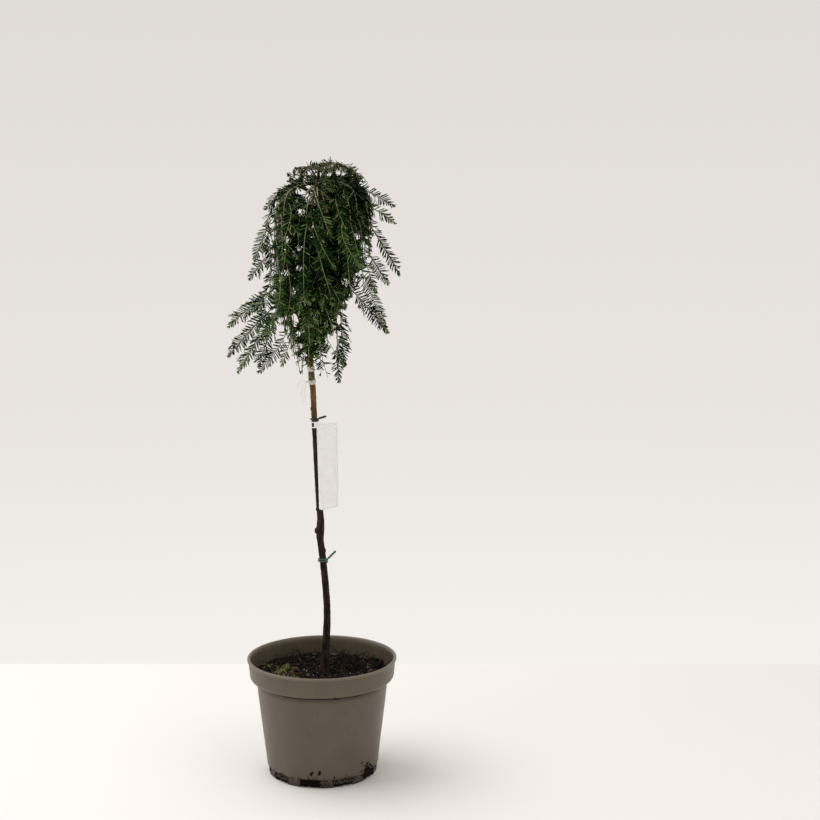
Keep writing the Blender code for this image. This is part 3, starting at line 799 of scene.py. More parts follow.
@dataclass(frozen=True)
class Pole:
    """The trunk's centre line and girth: height, then X and Y or radius, in millimetres."""

    line: tuple[tuple[float, float, float], ...] = (
        (151.8, 3.6, 10.0), (156, 3.6, 10.0), (200, 6.1, 9.0), (231, 7.8, 8.0), (254, 7.5, 7.4),
        (283, 5.7, 6.6), (318, 2.6, 5.8), (356, -1.8, 5.0), (383, -0.6, 4.5), (420, -3.1, 3.8),
        (471, -5.7, 3.0), (532, -8.4, 2.2), (575, -9.9, 1.6), (610, -13.2, 1.2), (649, -13.6, 1.0),
        (707, -11.6, 0.6), (779, -6.7, 0.3), (836, -1.9, 0.0), (864, -0.2, 0.0), (890, 0.9, 0.0),
        (896, 3.0, 0.0), (899.5, 7.0, 0.0), (901.5, 12.0, 0.0),
    )
    girth: tuple[tuple[float, float], ...] = (
        (151.8, 8.6), (156, 7.4), (166, 6.5), (190, 5.7), (250, 5.1), (350, 5.0), (368, 6.2),
        (386, 5.0), (470, 4.3), (560, 4.1), (600, 4.6), (640, 4.0), (779, 3.1), (864, 2.5),
        (890, 1.9), (901.5, 1.4),
    )

    def centre(self, height: float) -> Vector:
        """The trunk's centre at a height."""
        x, y = between(self.line, height)
        return Vector((x, y, height))

    def radius(self, height: float) -> float:
        """The trunk's radius at a height."""
        return between(self.girth, height)[0]

    def round(self, point: Vector) -> tuple[float, float]:
        """Azimuth in degrees and distance of a point from the trunk's centre at its height."""
        offset = point - self.centre(point.z)
        return math.degrees(math.atan2(offset.y, offset.x)), math.hypot(offset.x, offset.y)


POLE = Pole()


# The pot and what is in it

def rings(rows: Sequence[tuple[float, float, float, float]]) -> list[tuple[float, float]]:
    """Radius and height of rings given as a radius, millimetres more, a height and millimetres more."""
    return [(radius + wider * MM, level + higher * MM) for radius, wider, level, higher in rows]


@dataclass
class NurseryPot:
    """A thin round pot with a deep rim band, drainage slots at its foot and earth stuck to it."""

    rng: random.Random
    height: float = 175.5 * MM
    rim_radius: float = 110.7 * MM
    band_foot: float = 146 * MM
    body_top_radius: float = 97.5 * MM
    body_foot_radius: float = 83.2 * MM
    step_height: float = 13 * MM
    foot_radius: float = 80.5 * MM
    wall: float = 2.0 * MM
    sides: int = 128
    slots: int = 10
    slot_size: tuple[float, float, float] = (14 * MM, 30 * MM, 18 * MM)
    slot_turn: float = 0.19
    wall_steps: int = 8
    slot_crumbs: int = 60
    corner_crumbs: int = 30
    mud_crumbs: int = 130
    # Earth that splashed up the wall: crumbs, azimuth, drift, spread, foot, climb and largest size
    splashes: Table = ((330, -31, 3, 4.5, 6, 9, 1.6), (120, -95, 0, 9, 4, 6, 1.5))
    foot_crumbs: int = 240
    # Runs of dried mud: azimuth, foot and top
    runs: Table = ((-99.2, 20.5, 25.5), (-91.2, 22.0, 27.5))
    run_crumbs: int = 14
    band_crumbs: int = 24

    def outer(self) -> list[tuple[float, float]]:
        """The outer side, from the rim's lip down to the foot."""
        rim, top, band, step = self.rim_radius, self.height, self.band_foot, self.step_height
        wide, narrow, foot = self.body_top_radius, self.body_foot_radius, self.foot_radius
        rows = [(rim, -2.6, top, -0.1), (rim, -1.8, top, 0), (rim, -0.7, top, -0.2), (rim, 0, top, -1.0),
                (rim, 0, top, -3.2), (rim, -0.5, top, -4.0), (rim, -1.5, top, -4.4), (rim, -1.7, top, -5.4),
                (rim, -2.6, top, -16), (rim, -3.3, band, 4), (rim, -3.9, band, 1.5), (rim, -5.2, band, -0.6),
                (rim, -7.2, band, -2.2), (wide, 0.9, band, -3.6), (wide, 0.1, band, -5.2),
                (wide, -0.4, band, -8)]
        for share in (i / self.wall_steps for i in range(1, self.wall_steps)):
            fall = (step + 5 * MM - band + 8 * MM) * share
            rows.append((wide + (narrow - wide) * share, 0, band - 8 * MM + fall, 0))
        rows += [(narrow, 0.1, step, 4), (narrow, -0.4, step, 1.6), (narrow, -1.8, step, 0),
                 (foot, 0.2, step, -1.0), (foot, -0.2, 0, 6), (foot, -0.7, 0, 1.0), (foot, -1.4, 0, 0)]
        return rings(rows)

    def inside(self, height: float) -> float:
        """The radius of the hollow at a height."""
        radii, heights = zip(*reversed(self.outer()))
        return float(np.interp(height, heights, radii)) - self.wall

    def on_wall(self, azimuth: float, height: float, inwards: float) -> Vector:
        """A place on the wall's outside, or a little outwards or inwards of it, on the level."""
        return direction(azimuth) * (self.inside(height) + self.wall + inwards)

    def slot_azimuths(self) -> list[float]:
        """Where the drainage slots are, in degrees."""
        return [360 / self.slots * (index + self.slot_turn) for index in range(self.slots)]

    def shell(self) -> Piece:
        """The turned shell, from its floor inside, over the rim, to its underside.

        Returns:
            The shell's object.
        """
        rim, top, band, wide = self.rim_radius, self.height, self.band_foot, self.body_top_radius
        inner = [(self.foot_radius - self.wall - 1 * MM, self.wall)]
        inner += [(self.inside(level * MM), level * MM) for level in (16, 60, 100)]
        inner += rings(((wide, -3, band, -9), (wide, -1, band, -6), (rim, -6.4, band, 1.5),
                        (rim, -5.4, top, -9), (rim, -4.4, top, -1.6), (rim, -3.6, top, -0.5)))
        return turned("nursery_pot", inner + self.outer(), self.sides)

    def cut_slots(self, pot: Piece) -> None:
        """Cuts the round-cornered drainage slots through the foot.

        Args:
            pot: the shell's object.
        """
        blocks = []
        for azimuth in self.slot_azimuths():
            place = direction(azimuth) * self.foot_radius + UP * (self.wall + 2 * MM)
            bpy.ops.mesh.primitive_cube_add(size=1, location=place, rotation=(0, 0, math.radians(azimuth)))
            block = bpy.context.object
            block.scale = self.slot_size
            bpy.ops.object.transform_apply(location=True, rotation=True, scale=True)
            apply_modifier(block, "BEVEL", {"width": 3 * MM, "segments": 3})
            blocks.append(block)
        take(blocks[0])
        for block in blocks:
            block.select_set(True)
        bpy.ops.object.join()
        cutter = bpy.context.object
        apply_modifier(pot, "BOOLEAN", {"operation": "DIFFERENCE", "object": cutter, "solver": "EXACT"})
        bpy.data.objects.remove(cutter)

    def warp(self, pot: Piece) -> None:
        """Gives the thin wall the slight waves of a used pot.

        Args:
            pot: the shell's object.
        """
        rows = points_of(pot)
        for row in rows:
            wave = noise.noise(Vector(row) * 14) * 0.35 * MM + noise.noise(Vector(row) * 60) * 0.06 * MM
            radius = math.hypot(row[0], row[1])
            if radius > 20 * MM and row[2] > 2 * MM:
                row[:2] *= 1 + wave / radius
        move_points(pot, rows)

    def stuck_earth(self) -> Piece:
        """Crumbs of earth in and over the slots, round the foot, on the wall and under the band.

        Every second slot has dried mud in it.

        Returns:
            The crumbs as one object.
        """
        rng, crumbs = self.rng, Swarm.of(round_grain())
        spots, muddy = [], []
        for index, azimuth in enumerate(self.slot_azimuths()):
            spots += [(azimuth + rng.uniform(-11, 11), rng.uniform(1.5, 11) * MM, -1.2 * MM, 1.3)
                      for _ in range(self.slot_crumbs)]
            spots += [(azimuth + rng.gauss(0, 8), 11 * MM + rng.gauss(0.4, 2.0) * MM, -0.2 * MM, 1.1)
                      for _ in range(self.slot_crumbs)]
            spots += [(azimuth + rng.choice((-10.5, 10.5)) + rng.gauss(0, 1.2), rng.uniform(1, 12) * MM,
                       0.0, 0.9) for _ in range(self.corner_crumbs)]
            muddy += [(azimuth + rng.uniform(-11.5, 11.5), rng.uniform(6, 12.5) * MM)
                      for _ in range(self.mud_crumbs * (index % 2 == 0))]
        for count, azimuth, drift, spread, foot, climb, largest in self.splashes:
            for _ in range(count):
                rise = abs(rng.gauss(0, 1))
                spots.append((rng.gauss(azimuth - drift * rise, spread), (foot + climb * rise) * MM, 0.0,
                              rng.uniform(0.6, largest)))
        spots += [(rng.uniform(0, 360), abs(rng.gauss(8, 7)) * MM + 1 * MM, 0.0, 0.8)
                  for _ in range(self.foot_crumbs)]
        for azimuth, low, high in self.runs:
            for step in range(self.run_crumbs):
                height = low + (high - low) * step / (self.run_crumbs - 1)
                spots.append((azimuth + 0.25 * (height - low) + rng.gauss(0, 0.5), height * MM, 0.0, 1.5))
        spots += [(rng.gauss(-106, 11), self.band_foot - rng.uniform(2, 7) * MM, 0.0, 0.5)
                  for _ in range(self.band_crumbs)]
        for azimuth, height, inwards, scale in spots:
            size = rng.uniform(0.5, 1.5) * scale * MM
            place = self.on_wall(azimuth, height, inwards) + UP * max(height, size)
            crumbs.add(place, tumbled(rng) @ squat(rng, size, (0.5, 0.9), (0.4, 0.8)), rng.choice((0, 0, 1)))
        for azimuth, height in muddy:
            size = rng.uniform(0.9, 1.7) * MM
            axes = tumbled(rng) @ Matrix.Diagonal((size, size * 0.7, size * 0.6))
            crumbs.add(self.on_wall(azimuth, height, -0.7 * MM) + UP * height, axes, 3)
        return crumbs.built("stuck_earth", CHIPS)

    def build(self) -> None:
        """Builds and mounts the pot and the earth that sticks to it."""
        pot = self.shell()
        self.cut_slots(pot)
        self.warp(pot)
        mounted(dressed(pot, POT_PLASTIC, 38), "pot_plastic", "pot")
        mounted(self.stuck_earth(), "potting_soil")


@dataclass
class PottingSoil:
    """Bark compost with loose chips, perlite, a cushion of moss and feeder roots."""

    pot: NurseryPot
    rng: random.Random
    top: float = 151.5 * MM
    dish: float = 2.5 * MM
    sides: int = 112
    ring_step: float = 3.2 * MM
    chips: int = 1500
    moss_shoots: int = 8400
    grains: int = 190
    root_count: int = 78
    # Moss: cushions, their azimuths and radii from least to greatest, and their smallest and largest spread
    moss_fields: Table = ((30, 150, 232, 50, 94, 7, 15), (5, 285, 312, 66, 92, 4, 8))

    def surface(self, x: float, y: float) -> float:
        """The height of the soil at a place.

        Args:
            x: the place, to the right.
            y: the place, to the back.

        Returns:
            The height.
        """
        radius = math.hypot(x, y)
        dish = self.dish * max(0.0, (radius - 30 * MM) / (70 * MM))
        lumps = noise.fractal(Vector((x, y, 0.3)) * 62, 0.9, 2.0, 5) * 3.0 * MM
        stem = math.hypot(x - 3.6 * MM, y - 10 * MM)
        mound = 1.5 * MM * math.exp(-((stem / (16 * MM)) ** 2))
        return self.top - 1.2 * MM - dish + lumps + mound

    def bed(self) -> Piece:
        """The filled body of compost.

        Returns:
            Its object, closed below.
        """
        edge = self.pot.inside(self.top) - 0.2 * MM
        steps = int((edge - 3 * MM) / self.ring_step)
        profile = [(3 * MM + (edge - 3 * MM) * i / steps, self.top) for i in range(steps + 1)]
        foot = self.pot.foot_radius - self.pot.wall - 1.3 * MM
        for height in (138 * MM, 60 * MM, 18 * MM):
            profile.append((self.pot.inside(height) - 0.5 * MM, height))
        profile.append((foot, self.pot.wall + 0.4 * MM))
        bed = turned("compost_bed", profile, self.sides)
        rows = points_of(bed)
        for row in rows:
            if row[2] > self.top - 1 * MM:
                row[2] = self.surface(row[0], row[1])
        move_points(bed, rows)
        bed.data.shade_smooth()
        return dressed(bed, COMPOST)

    def spot(self) -> tuple[float, float]:
        """A random place on the surface, clear of the wall."""
        radius = (self.pot.inside(self.top) - 3 * MM) * math.sqrt(self.rng.random())
        angle = self.rng.uniform(0, 2 * math.pi)
        return radius * math.cos(angle), radius * math.sin(angle)

    def chips_and_grit(self) -> list[Piece]:
        """Loose bark chips, and white grains between them.

        Returns:
            The chips and the grains, each as one object.
        """
        rng, lump = self.rng, round_grain()
        rows = points_of(lump)
        for row in rows:
            row *= 1 + noise.noise(Vector(row) * 1.7) * 0.6
        move_points(lump, rows)
        chips, grains = Swarm.of(lump), Swarm.of(round_grain())
        for _ in range(self.chips):
            x, y = self.spot()
            size = rng.choice((1.0, 1.4, 1.8, 2.4, 3.4, 5.0)) * rng.uniform(0.7, 1.3) * MM
            axes = leaning(rng, 0.5) @ squat(rng, size, (0.35, 0.8), (0.18, 0.4))
            place = Vector((x, y, self.surface(x, y) + rng.uniform(0.1, 0.5) * size))
            chips.add(place, axes, rng.choices((0, 1, 2), (6, 3.4, 1.2))[0])
        for _ in range(self.grains):
            x, y = self.spot()
            size = rng.choice((0.4, 0.5, 0.7, 0.9, 1.2)) * MM
            axes = tumbled(rng) @ squat(rng, size, (0.6, 0.9), (0.5, 0.9))
            grains.add(Vector((x, y, self.surface(x, y) + 0.9 * size)), axes)
        return [chips.built("bark_chips", CHIPS), grains.built("perlite_grains", [PERLITE])]

    def moss(self) -> Piece:
        """Short pointed shoots, close together, on the front left of the soil.

        Returns:
            The moss as one object.
        """
        rng = self.rng
        bpy.ops.mesh.primitive_cone_add(vertices=4, radius1=0.5, radius2=0, depth=1, location=(0, 0, 0.5))
        bpy.ops.object.transform_apply(location=True)
        shoots = Swarm.of(bpy.context.object)
        cushions = [(rng.uniform(west, east), rng.uniform(near, far) * MM, rng.uniform(small, large) * MM)
                    for count, west, east, near, far, small, large in self.moss_fields for _ in range(count)]
        for _ in range(self.moss_shoots):
            azimuth, radius, spread = rng.choice(cushions)
            offset = direction(rng.uniform(0, 360)) * spread * math.sqrt(rng.random())
            place = direction(azimuth) * radius + offset
            if math.hypot(place.x, place.y) > self.pot.inside(self.top) - 2 * MM:
                continue
            swell = 2.6 * MM * (1 - (offset.length / spread) ** 2)
            place.z = self.surface(place.x, place.y) + swell - 0.6 * MM
            lean = leaning(rng, 0.35)
            width, tall = rng.uniform(0.7, 1.2) * MM, rng.uniform(1.6, 3.4) * MM
            shoots.add(place, lean @ Matrix.Diagonal((width, width, tall)), rng.choice((0, 1, 1)))
        return shoots.built("moss_cushions", MOSS)

    def roots(self) -> Piece:
        """Thin curly feeder roots that arch over the soil, mostly at the back.

        Returns:
            The roots as one object.
        """
        rng, lofts = self.rng, []
        for _ in range(self.root_count):
            radius = rng.uniform(50, 93) * MM
            start = direction(rng.choice((rng.uniform(15, 75), rng.uniform(95, 165)))) * radius
            heading, lift, path = rng.uniform(0, ANY_WAY), rng.uniform(2, 17) * MM, []
            x, y = start.x, start.y
            steps = rng.randint(9, 20)
            for step in range(steps):
                heading += rng.gauss(0, 0.35)
                x, y = x + math.cos(heading) * 2.2 * MM, y + math.sin(heading) * 2.2 * MM
                if math.hypot(x, y) > self.pot.inside(self.top) - 2 * MM:
                    break
                arch = lift * math.sin(math.pi * step / (steps - 1))
                path.append(Vector((x, y, self.surface(x, y) + arch + 0.4 * MM)))
            if len(path) >= 4:
                lofts.append(loft(path, np.linspace(0.65 * MM, 0.35 * MM, len(path)), 5))
        return mesh_object("feeder_roots", *joined(lofts), [ROOT])

    def build(self) -> None:
        """Builds and mounts the soil and all that lies on it."""
        mounted(self.bed(), "potting_soil", "potting_soil")
        for piece in [*self.chips_and_grit(), self.moss(), self.roots()]:
            mounted(piece, "potting_soil")


# Trunk and boughs

@dataclass(frozen=True)
class Limb:
    """A bough as its path and radii."""

    name: str
    path: list[Vector]
    radii: list[float]


@dataclass
class Woodwork:
    """The trunk and its boughs, with the relief of their bark."""

    outer_count: int = 8
    lower_count: int = 6
    core_radius: float = 46 * MM
    bough_rise: float = 5 * MM
    lower_heights: tuple[float, ...] = (790, 757, 780, 745, 802, 768)
    knots: tuple[tuple[float, float, float], ...] = (
        (366, 180, 5.2), (336, 10, 3.4), (398, 170, 3.0), (233, 60, 3.2), (548, 185, 3.0),
    )
    ring_step: float = 1.6 * MM
    sides: int = 30
    crack_depth: float = 0.55 * MM
    bough_step: float = 1.3 * MM
    bough_sides: int = 14
    bough_crack_depth: float = 0.28 * MM

    def root(self, height: float, azimuth: float, radius: float, slope: float) -> Vector:
        """Where a bough's foot stands clear of the trunk."""
        clear = POLE.radius(height) + 2 * GAP + radius * abs(math.sin(math.radians(slope)))
        return POLE.centre(height) + direction(azimuth) * clear

    def outer_bough(self, index: int) -> Limb:
        """The bough that carries an outer mass.

        Args:
            index: the mass's number, from 0.

        Returns:
            The bough.
        """
        azimuth = 360 / self.outer_count * index
        height = (848 + 3.4 * (index * 3 % self.outer_count)) * MM
        root = self.root(height, azimuth, 1.9 * MM, 15)
        rise = self.bough_rise * math.cos(math.radians(azimuth))
        tip = POLE.centre(874 * MM + rise) + direction(azimuth) * (self.core_radius - 8 * MM)
        corners = (root, root + direction(azimuth, 15) * 14 * MM, tip - direction(azimuth, -5) * 12 * MM, tip)
        return Limb(f"bough_outer_{index + 1}", bezier(corners, 4), [(1.9 - 0.05 * i) * MM for i in range(5)])

    def lower_bough(self, index: int) -> Limb:
        """The bough that carries a lower mass.

        Args:
            index: the mass's number, from 0.

        Returns:
            The bough.
        """
        azimuth = 360 / self.lower_count * (index + 0.5)
        height = self.lower_heights[index] * MM
        root = self.root(height, azimuth, 1.9 * MM, 0)
        tip = POLE.centre(height - 3 * MM) + direction(azimuth) * 20 * MM
        corners = (root, root + direction(azimuth) * 5 * MM, tip - direction(azimuth, -30) * 6 * MM, tip)
        return Limb(f"bough_lower_{index + 1}", bezier(corners, 3), [(1.9 - 0.05 * i) * MM for i in range(4)])

    def crest_bough(self) -> Limb:
        """The short bough left of the leader."""
        root = self.root(882 * MM, 180, 1.3 * MM, 30)
        tip = Vector((-9, 1, 893)) * MM
        corners = (root, root + direction(180, 30) * 2 * MM, tip - direction(180, 45) * 2 * MM, tip)
        return Limb("bough_crest", bezier(corners, 3), [1.3 * MM] * 4)

    def leader(self) -> Limb:
        """The last stretch of the trunk, which bends over to +X."""
        path = [POLE.centre(height * MM) for height in (890, 896, 899.5, 901.5)]
        return Limb("trunk", path, [POLE.radius(place.z) for place in path])

    def limbs(self) -> list[Limb]:
        """Every bough of the plant."""
        outer = [self.outer_bough(i) for i in range(self.outer_count)]
        return outer + [self.lower_bough(i) for i in range(self.lower_count)] + [self.crest_bough()]

    def relief(self, points: np.ndarray, centres: np.ndarray, depth: float) -> np.ndarray:
        """Moves a limb's surface in and out by its bark's cracks, scales and scars.

        Args:
            points: the surface's vertices.
            centres: the limb's centre at each of them.
            depth: how deep the cracks are.

        Returns:
            The moved vertices.
        """
        moved = points.copy()
        for i, (point, centre) in enumerate(zip(points, centres)):
            out = Vector(point - centre)
            radius = out.length
            if radius < 0.2 * MM:
                continue
            out /= radius
            along = Vector((point[0] * 420, point[1] * 420, point[2] * 95))
            crack = 1 - min(1.0, abs(noise.noise(along)) * 7)
            scale = noise.fractal(Vector((point[0] * 900, point[1] * 900, point[2] * 420)), 1.0, 2.0, 3)
            scar = math.exp(-(((point[2] * 1000 / 23) % 1 - 0.5) * 9) ** 2) * 0.35
            moved[i] = point + np.array(out) * depth * (scale * 0.5 + scar - crack * 0.7)
        return moved

    def knot_bumps(self, points: np.ndarray) -> np.ndarray:
        """Raises the ringed stumps of pruned twigs on the trunk.

        Args:
            points: the trunk's vertices, which it moves.

        Returns:
            The same vertices.
        """
        for height, azimuth, size in self.knots:
            centre = POLE.centre(height * MM)
            peak = centre + direction(azimuth) * POLE.radius(height * MM)
            for row in points:
                far = (Vector(row) - peak).length / (size * MM)
                if far < 1.3:
                    out = (Vector(row) - centre).normalized()
                    lift = 0.55 * size * math.exp(-((far * 1.5) ** 4)) - 0.9 * math.exp(-((far * 3.2) ** 2))
                    row += np.array(out) * lift * MM
        return points

    def barked(self, path: list[Vector], radii: Sequence[float], sides: int, depth: float) -> Mesh:
        """A limb along a path, with its bark's relief.

        Args:
            path: the limb's centre line.
            radii: its radius at each point of the path.
            sides: vertices round it.
            depth: how deep the cracks are.

        Returns:
            Its vertices and its triangles.
        """
        points, faces = loft(path, radii, sides)
        line = [tuple(place) for place in path]
        centres = np.concatenate([np.repeat(line, sides, axis=0), [line[0], line[-1]]])
        return self.relief(points, centres, depth), faces

    def trunk(self) -> Piece:
        """The trunk from the soil to the bent leader.

        Returns:
            Its object.
        """
        foot, high = POLE.line[0][0] * MM, POLE.line[-1][0] * MM
        heights = np.arange(foot - 2.5 * MM, high, self.ring_step)
        arch = [POLE.centre(max(height, foot)) + UP * min(0.0, height - foot) for height in heights]
        path = spaced(arch + [POLE.centre(high)], self.ring_step)
        radii = [POLE.radius(place.z) for place in path]
        points, faces = self.barked(path, radii, self.sides, self.crack_depth)
        return mesh_object("bark_trunk", self.knot_bumps(points), faces, [BARK])

    def bough(self, limb: Limb) -> Piece:
        """One bough, let into the trunk by a swollen collar.

        Args:
            limb: the bough's path and radii.

        Returns:
            Its object.
        """
        foot = POLE.centre(limb.path[0].z - 1.5 * MM).lerp(limb.path[0], 0.25)
        path = spaced([foot, *limb.path], self.bough_step)
        start, end = limb.radii[0], limb.radii[-1]
        total = len(path) - 1
        radii = [end + (start - end) * (1 - i / total) + 0.9 * MM * math.exp(-i * 1.3 / 3.2)
                 for i in range(total + 1)]
        mesh = self.barked(path, radii, self.bough_sides, self.bough_crack_depth)
        return mesh_object("bark_" + limb.name, *mesh, [BARK])

    def build(self) -> None:
        """Builds and mounts the trunk and the boughs."""
        mounted(self.trunk(), "bark", "trunk")
        for limb in self.limbs():
            mounted(self.bough(limb), "bark", limb.name)


# The crown

class Order(IntEnum):
    """What a shoot is: a main stem, a side shoot, one that reaches out, a finer twig, or one in front."""

    STEM = 0
    SIDE = 1
    REACHING = 2
    TWIG = 3
    FRONT = 4


@dataclass(frozen=True)
class Shoot:
    """A shoot as its path, the way its flat spray faces, and how far its needles reach each side."""

    path: list[Vector]
    facing: Vector
    reach: float
    radius: float
    order: Order = Order.STEM


@dataclass(frozen=True)
class Tier:
    """One tier of the crown, as the source's rule has it. Its tables are in millimetres.

    Args:
        name: what its masses are called.
        count: how many masses go round it.
        turned: how far round the first one is, in shares of a mass.
        seed: the first mass's seed.
        stem_tip: radius and height of a main stem's tip, and how much lower or higher it may be.
        rises: least and greatest rise of a ruled shoot at its root.
        tilt: how much higher the tips are at +X.
        further: how many further shoots a mass has.
        on_bough: how many short shoots its bough bears.
        tips: ruled shoots: root share, half-angle share, and the tip's radius and height.
        reaching: shoots out to the crown's outline: mass, root share and tip.
        front: pale shoots down the front: mass, root share, where they come out, and tip.
        outline: height and reach of the further shoots' tips, from low to high.
    """

    name: str
    count: int
    turned: float
    seed: int
    stem_tip: tuple[float, float, float, float]
    rises: tuple[float, float]
    tilt: float
    further: int
    on_bough: int
    tips: Table
    reaching: Table
    front: Table
    outline: Table


OUTER = Tier(
    "outer", 8, 0.0, 40, (77, 738, -10, 12), (-0.4, 0.0), 0.0, 12, 10,
    tips=(
        (0.08, -0.72, 62, 846), (0.12, 0.72, 64, 842), (0.02, -0.38, 60, 742), (0.05, 0.40, 62, 732),
        (0.28, -0.62, 72, 768), (0.34, 0.62, 74, 754), (0.20, -0.30, 80, 822),
    ),
    reaching=(
        (0, 0.45, 117, 14, 739), (0, 0.78, 101, -18, 728), (0, 0.30, 112, -8, 815), (0, 0.15, 111, 10, 839),
        (4, 0.20, -79, 4, 834), (4, 0.45, -92, -14, 761), (4, 0.80, -103, 12, 733),
    ),
    front=(
        (7, 0.15, 34, -54, 874, 64, -58, 757), (6, 0.35, -18, -80, 812, -17, -70, 704),
        (6, 0.40, -3, -82, 810, 28, -78, 754), (7, 0.35, 26, -80, 808, 67, -60, 755),
        (7, 0.55, 54, -44, 774, 97, -24, 664), (0, 0.50, 62, -30, 776, 84, -22, 716),
        (5, 0.50, -48, -42, 762, -86, -30, 690), (4, 0.55, -57, -22, 738, -101, -24, 686),
        (5, 0.65, -44, -50, 716, -78, -38, 660), (4, 0.62, -60, -30, 738, -86, -26, 668),
        (5, 0.35, -38, -68, 800, -50, -62, 738), (5, 0.20, -28, -66, 842, -48, -68, 790),
        (5, 0.55, -32, -64, 744, -42, -56, 690), (6, 0.15, 2, -78, 852, 22, -86, 802),
        (6, 0.50, 8, -82, 764, 22, -76, 716), (7, 0.10, 20, -66, 862, 44, -76, 808),
        (7, 0.50, 42, -66, 772, 50, -58, 714), (0, 0.30, 56, -44, 822, 76, -40, 768),
    ),
    outline=(
        (690, 52), (722, 64), (757, 72), (790, 74), (831, 75), (851, 69), (868, 60),
    ),
)
LOWER = Tier(
    "lower", 6, 0.5, 80, (64, 668, -8, 8), (-0.9, -0.5), 16 * MM, 9, 0,
    tips=(
        (0.04, -0.42, 32, 636), (0.10, 0.42, 30, 622), (0.30, -0.62, 52, 678), (0.36, 0.62, 54, 668),
        (0.24, 0.05, 42, 650), (0.48, -0.30, 70, 700),
    ),
    reaching=(
        (0, 0.30, 35, 15, 605), (2, 0.36, -135, 16, 664), (2, 0.55, -92, 28, 603), (3, 0.36, -131, -28, 626),
        (3, 0.58, -115, -46, 605), (4, 0.60, -15, -25, 612), (5, 0.12, 101, -20, 659),
        (5, 0.30, 28, -13, 586),
    ),
    front=(
        (4, 0.15, 5, -66, 770, 15, -66, 735), (4, 0.35, 5, -63, 733, 9, -58, 694),
        (3, 0.30, -22, -54, 706, -11, -50, 672), (3, 0.45, -30, -30, 674, -88, -34, 604),
        (4, 0.30, -2, -22, 668, 40, -18, 612), (4, 0.50, -2, -20, 650, 14, -18, 592),
        (4, 0.40, -14, -26, 668, -12, -19, 590), (3, 0.20, -22, -22, 655, -24, -17, 596),
        (5, 0.20, 8, -22, 676, 45, -18, 640), (4, 0.20, -20, -24, 650, -26, -22, 604),
        (3, 0.15, -30, -54, 745, -36, -52, 702), (4, 0.25, 16, -62, 742, 36, -52, 702),
        (4, 0.45, 12, -52, 702, 24, -44, 662), (3, 0.40, -18, -50, 700, -22, -42, 656),
        (4, 0.35, 2, -28, 662, 3, -22, 598), (3, 0.45, -26, -30, 690, -54, -30, 612),
    ),
    outline=(
        (612, 20), (643, 30), (671, 40), (684, 47), (700, 56), (716, 64), (735, 70), (752, 74),
    ),
)


